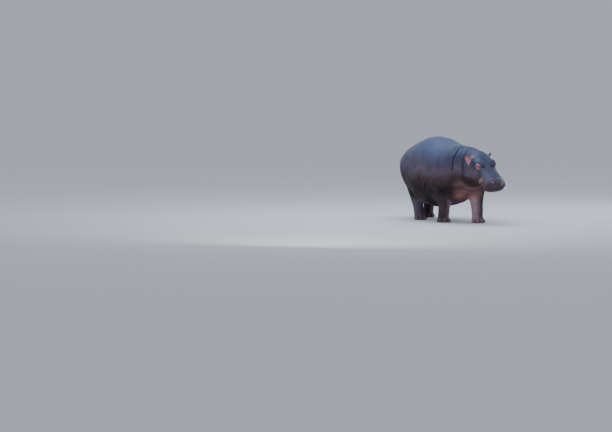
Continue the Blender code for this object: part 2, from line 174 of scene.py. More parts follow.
# %% The flesh in one heap
GRAIN = 0.0056  # the remesh's voxel
OVERLAP = 0.0012  # how far each piece is swollen
EAR_SWELL = 0.0042
LIMBS = ["fore_left", "fore_right", "hind_left", "hind_right"]
FLESH = ["trunk", "neck", "head", "lower_jaw", "tail", "ear_left", "ear_right"]
FLESH += [f"{part}_{limb}" for part in ("leg", "foot") for limb in LIMBS]
SIDES = {"left": 1, "right": -1}
EYES = ["eye_left", "eye_right"]


def merged(node):
    """A CAD node's loose triangles as one closed mesh."""
    shape = bmesh.new()
    shape.from_mesh(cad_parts[node].data)
    bmesh.ops.remove_doubles(shape, verts=shape.verts, dist=1e-5)
    shape.normal_update()
    return shape


def heaped(nodes, name):
    """The nodes, each swollen by a little, in one mesh."""
    heap = bmesh.new()
    for node in nodes:
        shape = merged(node)
        swell = EAR_SWELL if node.startswith("ear") else OVERLAP
        for vert in shape.verts:
            vert.co += vert.normal * swell
        swollen = bpy.data.meshes.new(node + "_swollen")
        shape.to_mesh(swollen)
        heap.from_mesh(swollen)
        shape.free()
    mesh = bpy.data.meshes.new(name)
    heap.to_mesh(mesh)
    heap.free()
    return mesh


hide = shown("hide", heaped(FLESH + EYES, "hide"))
melt = hide.modifiers.new("melt", "REMESH")
melt.mode = "VOXEL"
melt.voxel_size = GRAIN
settled(hide)
print("melted skin:", len(hide.data.vertices), "points")


def skin():
    """The points and normals of the hide as it is now."""
    return points_of(hide.data), normals_of(hide.data)


# %% Only the outside
def only_biggest(mesh):
    """Drops every closed pocket but the largest shell."""
    size = len(mesh.vertices)
    a, b = edges_of(mesh)
    label = np.arange(size)
    while True:
        low = label.copy()
        np.minimum.at(low, a, label[b])
        np.minimum.at(low, b, label[a])
        low = low[low]
        if np.array_equal(low, label):
            break
        label = low
    names, counts = np.unique(label, return_counts=True)
    keep = label == names[counts.argmax()]
    shape = bmesh.new()
    shape.from_mesh(mesh)
    stray = [vert for vert, kept in zip(shape.verts, keep) if not kept]
    bmesh.ops.delete(shape, geom=stray, context="VERTS")
    shape.to_mesh(mesh)
    shape.free()
    return len(names)


print("shells found:", only_biggest(hide.data), "kept", len(hide.data.vertices), "points")

# %% [markdown]
# ## Smoothing where the body is broad
# The solids are faceted, with facets a hand wide on the trunk and a finger wide on the head. Each
# point is eased towards its neighbours for as long as the facets there need: long on the barrel of
# the body, briefly on the head, and hardly at all on the thin ears.


# %% Regions of the body
def by_box(points, node, reach):
    """1 inside a node's box, fading to 0 at reach outside it."""
    low, high = (np.array(corner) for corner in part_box(node))
    off = np.linalg.norm(np.maximum(np.maximum(low - points, points - high), 0), axis=1)
    return 1 - ramp(off, 0.0, reach)


def regions(points):
    """How far each point belongs to the head, legs, feet, tail and ears."""
    u, v, w = head_axes(points).T
    face = ramp(u, -0.08, 0.06) * ramp(w, -0.62, -0.45)
    legs = ramp(0.62 - points[:, 2], 0.0, 0.22) * (1 - face)
    feet = ramp(0.16 - points[:, 2], 0.0, 0.05)
    tail_low, tail_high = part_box("tail")
    tail = ramp(points[:, 1], tail_high.y - 0.10, tail_high.y - 0.06)
    ears = np.maximum(by_box(points, "ear_left", 0.02), by_box(points, "ear_right", 0.02))
    return face, legs, feet, tail, ears


# %% Even out the facets
SMOOTH_ROUNDS = 150
face, legs, feet, tail, ears = regions(points_of(hide.data))
share = 0.85 - 0.50 * legs
share += (0.10 - share) * face
share += (0.07 - share) * feet
share += (0.12 - share) * tail
share += (0.035 - share) * ears
eased(hide.data, SMOOTH_ROUNDS, share)
place(hide.data, points_of(hide.data) - (OVERLAP * normals_of(hide.data)))
print("facets smoothed over", SMOOTH_ROUNDS, "rounds")

# %% [markdown]
# ## Folds, drawn before they are pressed
# A fold in thick hide is a narrow furrow between two broad, soft rolls. Each one is a short line of
# places near the body, smoothed, laid on the skin and given a slight waver, because living folds are
# never ruled. They are drawn first, so that the mesh can be made finer along them.


# %% Lines on the skin
from mathutils import noise
from mathutils.bvhtree import BVHTree


def smooth_line(stops, spacing):
    """A smooth line through a few stops (Catmull-Rom), as close, even steps."""
    stops = np.array(stops, float)
    padded = np.vstack([2 * stops[0] - stops[1], stops, 2 * stops[-1] - stops[-2]])
    line = []
    for k in range(len(stops) - 1):
        a, b, c, d = padded[k : k + 4]
        steps = max(2, math.ceil(np.linalg.norm(c - b) / spacing))
        for t in np.arange(steps) / steps:
            bend = (2 * a - 5 * b + 4 * c - d) * t**2 + (3 * b - a - 3 * c + d) * t**3
            line.append(0.5 * (2 * b + (c - a) * t + bend))
    return np.array(line + [stops[-1]])


def off_line(points, line):
    """Each point's distance to a line of close stops, and how far along it is, 0 to 1."""
    best = np.full(len(points), np.inf)
    where = np.zeros(len(points))
    for k in range(len(line) - 1):
        start, way = line[k], line[k + 1] - line[k]
        t = np.clip((points - start) @ way / max(way @ way, 1e-12), 0, 1)
        d = ((points - start - t[:, None] * way) ** 2).sum(1)
        closer = d < best
        best[closer] = d[closer]
        where[closer] = (k + t[closer]) / (len(line) - 1)
    return np.sqrt(best), where


def surface():
    """The hide as it is now, for laying lines on it."""
    shape = bmesh.new()
    shape.from_mesh(hide.data)
    tree = BVHTree.FromBMesh(shape)
    shape.free()
    return tree


def by_fold(points, fold, reach):
    """The points within some half widths of a furrow, how far off they are, and how it fades at its ends."""
    line, width, _, _, fade = fold
    reach *= width
    close = np.flatnonzero(((points > line.min(0) - reach) & (points < line.max(0) + reach)).all(1))
    off, along = off_line(points[close], line)
    return close, off, ramp(along, 0.0, fade) * ramp(1 - along, 0.0, fade)


smooth_skin = surface()
FOLDS = []


def furrow(stops, width, depth, roll=0.5, fade=0.25):
    """Draws one furrow: the half width of its floor, its depth, and its rolls' share of that depth."""
    line = []
    for stop in smooth_line(stops, max(0.004, 0.6 * width)):
        waver = noise.noise_vector(Vector(stop) / (9 * width)) * 0.9 * width
        line.append(smooth_skin.find_nearest(Vector(stop) + waver)[0])
    FOLDS.append((np.array(line), width, depth, roll, fade))


def pair(stops, width, depth, **more):
    """The same furrow on the body's left and right."""
    furrow(stops, width, depth, **more)
    furrow([(-x, y, z) for x, y, z in stops], width, depth, **more)


def head_pair(stops, width, depth, **more):
    """A pair of furrows given in the head's axes, for its left side."""
    for side in (1, -1):
        furrow([in_head(u, side * v, w) for u, v, w in stops], width, depth, **more)


# %% Neck and shoulder folds
# the deep fold at the root of the neck, from the withers down to the chest, and one behind it
pair([(-0.02, -0.396, 1.11), (0.078, -0.491, 1.086), (0.162, -0.556, 1.048), (0.209, -0.577, 0.989),
      (0.247, -0.575, 0.926), (0.27, -0.59, 0.81), (0.262, -0.60, 0.68)], 0.012, 0.018)
pair([(0.0, -0.346, 1.11), (0.101, -0.398, 1.088), (0.193, -0.479, 1.045), (0.24, -0.53, 0.97), (0.27, -0.54, 0.88)],
     0.011, 0.011)
# lesser folds between it and the ears
pair([(0.0, -0.50, 1.10), (0.10, -0.60, 1.06), (0.17, -0.65, 0.98), (0.21, -0.66, 0.87)], 0.009, 0.006)
pair([(-0.01, -0.60, 1.09), (0.08, -0.68, 1.05), (0.13, -0.72, 0.99)], 0.008, 0.005)
# the crease behind the cheek, round under the throat
pair([(0.088, -0.70, 1.03), (0.153, -0.715, 0.93), (0.176, -0.725, 0.81), (0.171, -0.731, 0.69),
      (0.145, -0.738, 0.64), (0.08, -0.742, 0.60), (-0.02, -0.740, 0.58)], 0.019, 0.009, fade=0.18)
# throat folds, across under the neck
for step, deep in ((0.0, 0.012), (0.08, 0.009), (0.17, 0.007)):
    y, z = -0.69 + step, 0.585 - 0.75 * step
    furrow([(-0.17, y + 0.05, z + 0.13), (-0.09, y + 0.01, z + 0.03), (0.02, y, z - 0.02),
            (0.12, y + 0.01, z + 0.03), (0.19, y + 0.05, z + 0.13)], 0.010, deep)
print("neck folds:", len(FOLDS))

# %% Shoulder, flank, elbow and ankle folds
# round the shoulder blade, and the deep fold between it and the top of the foreleg
pair([(0.19, -0.40, 1.055), (0.235, -0.29, 1.03), (0.275, -0.25, 0.985), (0.32, -0.26, 0.91), (0.348, -0.32, 0.80),
      (0.345, -0.38, 0.68)], 0.026, 0.004)
ARMPIT = [(0.306, -0.19, 0.37), (0.303, -0.344, 0.464), (0.225, -0.51, 0.495), (0.142, -0.63, 0.527)]
pair(ARMPIT, 0.016, 0.018)
pair([(0.398, -0.037, 0.594), (0.375, 0.03, 0.50), (0.345, 0.085, 0.42)], 0.014, 0.010)
for limb in LIMBS:
    foot_low, foot_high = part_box("foot_" + limb)
    middle = (foot_low + foot_high) / 2
    radius = (foot_high.x - foot_low.x) / 2
    for height, turned, depth in ((0.118, 10, 0.0035), (0.150, -12, 0.004), (0.188, 18, 0.003)):
        ring = []
        for k in range(-3, 4):
            turn = math.radians(turned + 30 * k)
            ring.append((middle.x + radius * math.sin(turn), middle.y - radius * math.cos(turn), height))
        furrow(ring, 0.006, depth)
print("body folds:", len(FOLDS))

# %% Face folds
# under the jowl, along the lower edge of the jaw
head_pair([(0.06, 0.17, -0.28), (0.14, 0.14, -0.30), (0.24, 0.12, -0.28), (0.34, 0.10, -0.26)], 0.008, 0.008)
# in front of the cheek, from under the eye to the corner of the mouth
head_pair([(0.245, 0.165, -0.030), (0.290, 0.155, -0.050), (0.320, 0.150, -0.066)], 0.009, 0.007, fade=0.4)
head_pair([(0.255, 0.165, -0.085), (0.300, 0.155, -0.110), (0.345, 0.150, -0.150)], 0.010, 0.004, fade=0.4)
# over the brow and across the forehead
head_pair([(0.165, 0.020, 0.07), (0.155, 0.065, 0.08), (0.125, 0.115, 0.075)], 0.007, 0.0022)
head_pair([(0.085, -0.02, 0.10), (0.078, 0.040, 0.10), (0.050, 0.095, 0.085)], 0.008, 0.0028)
head_pair([(0.030, -0.02, 0.10), (0.020, 0.045, 0.10), (-0.010, 0.105, 0.08)], 0.009, 0.0034)
head_pair([(0.225, -0.01, 0.05), (0.222, 0.035, 0.055), (0.205, 0.075, 0.065)], 0.006, 0.0022)
# at the foot of the ear
head_pair([(0.040, 0.150, 0.03), (0.052, 0.180, -0.01), (0.035, 0.195, -0.06)], 0.006, 0.007)
head_pair([(0.075, 0.165, 0.0), (0.082, 0.185, -0.04), (0.070, 0.200, -0.09)], 0.006, 0.004)
print("all folds:", len(FOLDS))

# %% [markdown]
# ## Finer mesh where the form is fine
# Lids, lips and nostrils need points a millimetre or two apart, which the whole body couldn't afford.
# Only the edges near such a feature are split: once for the head, the feet and the folds, again near
# the eyes, nostrils and mouth, and a third time at the rims of the lids.


# %% Split the edges near a feature
def refined(mesh, chosen):
    """Splits each edge whose two ends are both chosen."""
    shape = bmesh.new()
    shape.from_mesh(mesh)
    edges = [e for e in shape.edges if chosen[e.verts[0].index] and chosen[e.verts[1].index]]
    bmesh.ops.subdivide_edges(shape, edges=edges, cuts=1, use_grid_fill=True)
    bmesh.ops.triangulate(shape, faces=[f for f in shape.faces if len(f.verts) > 4])
    shape.to_mesh(mesh)
    shape.free()


NOSTRIL = (0.545, 0.066, -0.042)  # forward, sideways and up from between the ears
MOUTH = ((0.325, -0.062), (0.362, -0.100), (0.396, -0.146), (0.440, -0.166), (0.500, -0.160), (0.640, -0.118))
mouth_line = smooth_line(MOUTH, 0.006)


def detail(points):
    """Distance of each point to the nearest eye, nostril, and the line of the mouth."""
    local = head_axes(points)
    u, v, w = local.T
    sided = np.stack([u, np.abs(v), w], 1)
    eye = np.linalg.norm(sided - (EYE_FORWARD, EYE_ACROSS, EYE_UP), axis=1)
    nostril = np.linalg.norm(sided - NOSTRIL, axis=1)
    mouth, _ = off_line(local[:, [0, 2]], mouth_line)
    return eye, nostril, np.where(u > 0.28, mouth, 1.0)


points = points_of(hide.data)
face, legs, feet, tail, ears = regions(points)
chosen = (face > 0.3) | (feet > 0.8) | (ears > 0.5)
for fold in FOLDS:
    close, off, _ = by_fold(points, fold, 2.2)
    chosen[close] |= off < 2.2 * fold[1]
refined(hide.data, chosen)
eye, nostril, mouth = detail(points_of(hide.data))
refined(hide.data, (eye < 0.050) | (nostril < 0.045) | (mouth < 0.014))
eye, nostril, mouth = detail(points_of(hide.data))
refined(hide.data, eye < 0.030)
points = points_of(hide.data)
face, legs, feet, tail, ears = regions(points)
eased(hide.data, 6, 0.10 + 0.15 * np.maximum(face, np.maximum(feet, ears)))
print("refined skin:", len(hide.data.vertices), "points")

# %% [markdown]
# ## Flesh under the hide
# Before the folds go in, the broad forms of the face are pushed out or pressed in by rounded strokes:
# the ridge over each eye, the hollow before it, the bag below it, the side of the nose, the cheek and the roots of
# the ears.
# Then the whole hide is made a little uneven, as fat and muscle leave it.


# %% Rounded strokes
def stroke(points, middle, radii, by):
    """Moves the points round a place in the head's axes, on both sides, most at its middle."""
    for side in (1, -1):
        local = head_axes(points) - np.array([middle[0], side * middle[1], middle[2]])
        weight = np.exp(-2 * ((local / np.array(radii)) ** 2).sum(1))
        points += weight[:, None] * np.array(FORWARD * by[0] + ACROSS * side * by[1] + UPWARD * by[2])


points = points_of(hide.data)
stroke(points, (0.185, 0.135, 0.055), (0.060, 0.045, 0.040), (0.0, 0.006, 0.008))  # over the eye
stroke(points, (0.248, 0.092, 0.026), (0.040, 0.034, 0.045), (-0.008, -0.004, -0.014))  # hollow before it
stroke(points, (0.215, 0.160, -0.035), (0.045, 0.040, 0.030), (0.0, 0.005, -0.002))  # bag below it
stroke(points, (0.000, 0.165, -0.040), (0.050, 0.040, 0.050), (0.0, 0.007, 0.002))  # root of the ear
stroke(points, (0.300, 0.135, -0.030), (0.075, 0.050, 0.060), (0.0, 0.010, 0.003))  # side of the nose
stroke(points, (0.190, 0.170, -0.190), (0.110, 0.060, 0.100), (0.0, 0.008, 0.0))  # cheek
place(hide.data, points)

LUMPS = ((0.16, 0.0034), (0.060, 0.0012))  # size of the unevenness and its height
normals = normals_of(hide.data)
uneven = np.zeros(len(points))
face, legs, feet, tail, ears = regions(points)
calm = 1 - 0.6 * np.maximum(face, feet)
for size, height in LUMPS:
    uneven += height * calm * np.array([noise.noise(Vector(p) / size) for p in points])
place(hide.data, points + normals * uneven[:, None])
print("unevenness up to", round(float(np.abs(uneven).max() * 1000), 1), "mm")

# %% Press in the folds
def pressed(points, folds):
    """How far the furrows and their rolls push each point out along its normal."""
    lift = np.zeros(len(points))
    for fold in folds:
        _, width, depth, roll, _ = fold
        close, off, ends = by_fold(points, fold, 6)
        bottom = np.exp(-((off / width) ** 1.5))
        rolls = np.exp(-((off / (3.0 * width)) ** 2))
        lift[close] += depth * ends * (roll * rolls - (1 + roll) * bottom)
    return lift


points, normals = skin()
lift = pressed(points, FOLDS)
# what the rolls add to the whole outline is taken off again, so that only the folds are left
bulk = spread(lift[:, None], edges_of(hide.data), 60, np.full(len(lift), 0.85))[:, 0]
lift -= np.maximum(bulk, 0)
place(hide.data, points + normals * lift[:, None])
print("folds pressed, the deepest", round(float(-lift.min() * 1000), 1), "mm")

# %% [markdown]
# ## Toes
# Each foot spreads on four webbed toes. Every nail stands on a mound of its own, with a soft rim of
# skin round it and a cleft on either side, so the toes are raised where the nails already are.


# %% Raise the toes
TOE_WIDTH = 0.024
TOE_HEIGHT = 0.034
points, normals = skin()
for limb in LIMBS:
    foot_low, foot_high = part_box("foot_" + limb)
    tips = [centre(f"nail_{limb}_{number}") for number in (1, 2, 3, 4)]
    heel = Vector(((tips[0].x + tips[3].x) / 2, (tips[0].y + tips[3].y) / 2 + 0.045, 0))
    close = np.flatnonzero((points[:, 2] < 0.13) & (np.abs(points[:, 0] - heel.x) < 0.14)
                           & (np.abs(points[:, 1] - heel.y) < 0.16))
    here = points[close]
    headings = [(tip - heel).to_2d().normalized() for tip in tips]
    best = np.zeros(len(close))
    push = np.zeros((len(close), 2))
    for tip, heading in zip(tips, headings):
        off = here[:, :2] - np.array(tip.to_2d())
        outward = off @ np.array(heading)
        aside = off @ np.array((-heading.y, heading.x))
        high = here[:, 2] - tip.z
        faces_out = ramp(normals[close][:, :2] @ np.array(heading), 0.15, 0.65)
        mound = np.exp(-((aside / TOE_WIDTH) ** 2) - np.where(high > 0, (high / TOE_HEIGHT) ** 2, 0)) * faces_out
        nail_rim = np.exp(-(((np.hypot(aside / 1.05, high) - 0.0205) / 0.0045) ** 2)) * ramp(outward, -0.03, -0.01)
        raised = 0.0085 * mound + 0.0022 * nail_rim * faces_out
        more = raised > best
        best[more] = raised[more]
        push[more] = raised[more, None] * np.array(heading)
    for first, second in zip(headings, headings[1:]):
        between = (first + second).normalized()
        off = here[:, :2] - np.array(heel.to_2d())
        aside = off @ np.array((-between.y, between.x))
        outward = off @ np.array(between)
        cleft = np.exp(-((aside / 0.0065) ** 2)) * ramp(outward, 0.02, 0.05) * (1 - ramp(here[:, 2], 0.040, 0.085))
        push -= 0.0085 * cleft[:, None] * np.array(between)
    points[close, :2] += push
points[:, 2] = np.maximum(points[:, 2], 0.0003)  # the soles stand on the ground
place(hide.data, points)
print("toes raised under", sum(node.startswith("nail_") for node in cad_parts), "nails")

# %% [markdown]
# ## Mouth and lips
# The shut mouth is one long line: from the chin it runs back low, dips round the cheek's tusk and
# climbs to a corner below the eye. It is one curve seen from the side, so each point's distance to it
# in that view says whether it is on the overhanging upper lip, in the slit or on the lower lip.

# %% Press in the mouth
LIP_SLIT = 0.0030  # half width of the slit
LIP_DEPTH = 0.0110
points, normals = skin()
local = head_axes(points)
d, along = off_line(local[:, [0, 2]], mouth_line)
level = np.interp(local[:, 0], mouth_line[:, 0], mouth_line[:, 1])
above = np.where(local[:, 2] > level, d, -d)
here = ramp(local[:, 0], 0.315, 0.350)
slit = np.exp(-((d / LIP_SLIT) ** 2))
upper_lip = np.exp(-(((above - 0.017) / 0.014) ** 2))
lower_lip = np.exp(-(((above + 0.014) / 0.012) ** 2))
push = here * (0.0060 * upper_lip - 0.0040 * lower_lip - LIP_DEPTH * slit)
place(hide.data, points + normals * push[:, None])
print("mouth pressed in by", LIP_DEPTH * 1000, "mm")

# %% [markdown]
# ## Nostrils
# The nostrils are slits with raised, muscular rims on two low mounds, so that they alone can clear
# the water. Each is a short curved furrow with a tall roll round it.

# %% Open the nostrils
points, normals = skin()
nose_u, nose_v, nose_w = NOSTRIL
smooth_skin = surface()
ALL_FOLDS = list(FOLDS)
FOLDS.clear()
head_pair([(nose_u + 0.014, nose_v - 0.018, nose_w - 0.006), (nose_u + 0.006, nose_v - 0.004, nose_w + 0.002),
           (nose_u - 0.006, nose_v + 0.006, nose_w + 0.006), (nose_u - 0.024, nose_v + 0.006, nose_w + 0.012)],
          0.0048, 0.0150, roll=0.45, fade=0.30)
place(hide.data, points + normals * pressed(points, FOLDS)[:, None])
print("nostrils opened:", len(FOLDS))

# %% [markdown]
# ## Eyes and lids
# The lids are thick and close round the ball of the eye. Seen from the ball's centre, each direction
# is either in the opening, on a lid or beyond it, and that decides how far out the skin stands
# there: inside the ball, just outside it, or where it already was.

# %% Lids round each eye
LID_THICK = 0.0046
OPEN_LONG = 0.84  # half length and half height of the opening, as shares of the ball's radius
OPEN_HIGH = 0.66
GAZE = (0.42, 0.82, 0.38)  # forward, outward and up


def eye_axes(side):
    """The eye's centre, the way it looks, and its long and short axes."""
    middle = in_head(EYE_FORWARD, side * EYE_ACROSS, EYE_UP)
    gaze = (FORWARD * GAZE[0] + ACROSS * side * GAZE[1] + UPWARD * GAZE[2]).normalized()
    long_way = (FORWARD - UPWARD * 0.10).normalized()
    long_way = (long_way - gaze * long_way.dot(gaze)).normalized()
    high_way = gaze.cross(long_way)
    if high_way.z < 0:
        high_way = -high_way
    return middle, gaze, long_way, high_way


for side in (1, -1):
    middle, gaze, long_way, high_way = eye_axes(side)
    points = points_of(hide.data)
    off = points - np.array(middle)
    out = np.linalg.norm(off, axis=1)
    chosen = np.flatnonzero(out < 2.6 * EYE_RADIUS)
    off, out = off[chosen], out[chosen]
    heading = off / out[:, None]
    ahead = heading @ np.array(gaze)
    x = heading @ np.array(long_way)
    y = heading @ np.array(high_way)
    high = np.where(y > 0, OPEN_HIGH, 0.88 * OPEN_HIGH)
    almond = np.sqrt(np.abs(x / OPEN_LONG) ** 1.6 + (y / high) ** 2)  # with pointed corners
    heavy = 1 + 0.5 * ramp(y, 0.0, 0.5)  # the upper lid is the heavier one
    ring = EYE_RADIUS + LID_THICK * heavy + 0.0035 * heavy * np.exp(-(((almond - 1.42) / 0.28) ** 2))
    lid = EYE_RADIUS - 0.0030 + (ring - EYE_RADIUS + 0.0030) * ramp(almond, 0.94, 1.20)
    keep = ramp(-ahead, -0.42, 0.05)
    target = lid * (1 - keep) + np.maximum(out, lid) * keep
    target = np.where(ahead > -0.2, target, out)
    points[chosen] = np.array(middle) + heading * target[:, None]
    # the ring outside the lid's rim is evened, so that no crease of the face runs through it
    share = np.zeros(len(points))
    share[chosen] = 0.5 * ramp(almond, 1.10, 1.30) * ramp(2.5 * EYE_RADIUS - out, 0.0, 0.012)
    place(hide.data, spread(points, edges_of(hide.data), 12, share))

# a crease over each upper lid and two bags under the lower one
points, normals = skin()
smooth_skin = surface()
FOLDS.clear()
for side in (1, -1):
    middle, gaze, long_way, high_way = eye_axes(side)
    for reach, start, end, width, depth in ((1.55, 25, 160, 0.0024, 0.0028), (1.50, 205, 330, 0.0022, 0.0024),
                                            (1.95, 215, 310, 0.0032, 0.0028)):
        arc = []
        for k in range(6):
            a = math.radians(start + (end - start) * k / 5)
            arc.append(middle + (long_way * math.cos(a) + high_way * 0.86 * math.sin(a)) * reach * EYE_RADIUS
                       + gaze * 0.4 * EYE_RADIUS)
        furrow(arc, width, depth, roll=0.5, fade=0.3)
place(hide.data, points + normals * pressed(points, FOLDS)[:, None])
print("lids shaped round both eyes, with", len(FOLDS), "creases")

# %% [markdown]
# ## A lighter mesh
# The remesh is as fine on a smooth flank as on a lid. A collapse of edges takes points away, and a
# weight on each point says how long the edges should become there: a finger's width on the barrel of
# the body, a few millimetres on the face and along the folds, and shortest of all on the lids.

# %% Thin out the plain places
SKIN_TRIANGLES = 194000
SHORTEST = 0.0014
points = points_of(hide.data)
face, legs, feet, tail, ears = regions(points)
eye, nostril, mouth = detail(points)
wanted = 0.012 - 0.003 * legs  # the edge length wanted at each point
wanted += (0.0050 - wanted) * np.maximum.reduce([face, feet, tail])
wanted += (0.0035 - wanted) * ears
for fold in ALL_FOLDS:
    width = fold[1]
    close, off, _ = by_fold(points, fold, 2.5)
    near = 1 - ramp(off, 1.5 * width, 2.5 * width)
    wanted[close] += np.minimum(max(0.003, 0.45 * width) - wanted[close], 0) * near
rim = np.minimum.reduce([eye - 0.030, nostril - 0.026, mouth - 0.008])
wanted = np.where(rim < 0.03, np.minimum(wanted, SHORTEST + 0.12 * np.clip(rim, 0, 0.03)), wanted)
plain = hide.vertex_groups.new(name="plain")
levels = np.rint(100 * (1 - 0.5 * SHORTEST / wanted))
for level in np.unique(levels):
    plain.add(np.flatnonzero(levels == level).tolist(), float(level) / 100, "REPLACE")
triangles = sum(len(facet.vertices) - 2 for facet in hide.data.polygons)
lighten = hide.modifiers.new("lighten", "DECIMATE")
lighten.ratio = SKIN_TRIANGLES / triangles
lighten.vertex_group = "plain"
lighten.vertex_group_factor = 0.001
settled(hide)
hide.vertex_groups.clear()
print("skin thinned from", triangles, "triangles to", len(hide.data.polygons), "faces")

# %% Put the skin in place of the solids
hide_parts(*FLESH)
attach(hide, "root")
hide.data.shade_smooth()

# %% [markdown]
# ## Where the hide is pink, dark or blue
# A wet hippopotamus is slate blue above and warm brown below, pink round the eyes, in the ears, at
# the nostrils and in the creases. Part of the blue where it faces the sky is a painted reflection of the sky,
# and the darkest places, low on the body, under the limbs, in folds and hollows and on the lips, are painted
# shade. These places follow the anatomy, so each is worked out for every point from where it lies, and stored on
# the mesh for the colours to read. The bristles will ask the same function, so that they match.

# %% Markings for any piece
EAR_OPEN = {side: np.array((FORWARD * 0.80 + ACROSS * side * 0.60).normalized()) for side in (1, -1)}
PINK_PATCHES = (  # place in the head's axes, size and strength
    ((0.378, 0.160, -0.112), 0.034, 0.60),  # corner of the mouth
    ((0.350, 0.155, -0.155), 0.022, 0.50),
    ((0.548, 0.083, -0.044), 0.022, 0.50),  # outside the nostril
    ((-0.012, 0.137, 0.052), 0.020, 0.46),  # before the ear
    ((0.010, 0.130, 0.064), 0.022, 0.60),
    ((0.034, 0.126, 0.066), 0.018, 0.42),
    ((0.040, 0.184, -0.038), 0.028, 0.90),  # below the ear
    ((0.222, 0.151, -0.008), 0.020, 0.80),  # below the eye
    ((0.214, 0.133, 0.032), 0.017, 0.90),  # in front of it
)
EMBER_PATCHES = (
    ((0.216, 0.118, 0.046), 0.018, 0.60),  # before the eye
    ((0.224, 0.114, 0.022), 0.018, 0.75),
    ((0.234, 0.130, -0.004), 0.020, 0.85),
    ((0.352, 0.158, -0.112), 0.026, 0.70),  # behind the corner of the mouth
)
# patches of painted shade in the hollows and creases of the face
FACE_SHADE_PATCHES = (
    ((0.241, 0.068, 0.018), 0.034, 0.95),  # painted shade in the hollow before the eye
    ((0.262, 0.074, -0.006), 0.026, 0.80),
    ((0.296, 0.152, -0.046), 0.022, 0.85),  # painted shade in the crease down to the corner of the mouth
    ((0.318, 0.153, -0.068), 0.022, 0.90),
    ((0.336, 0.152, -0.088), 0.020, 0.80),
    ((0.100, 0.165, 0.008), 0.050, 0.55),  # painted shade between the ear and the eye
    ((0.055, 0.158, 0.034), 0.036, 0.60),
    ((0.150, 0.165, -0.020), 0.034, 0.45),
)
PINK_KEPT_IN_LEFT_SHADE = 0.25  # painted shade: the pink of the left side of the face, turned from the light, is damped to this share


def patched(sided, patches):
    """The strongest of some soft round patches at each point."""
    share = np.zeros(len(sided))
    for middle, size, strength in patches:
        off = np.linalg.norm(sided - np.array(middle), axis=1)
        share = np.maximum(share, strength * (1 - ramp(off, 0.25 * size, 1.3 * size)))
    return share


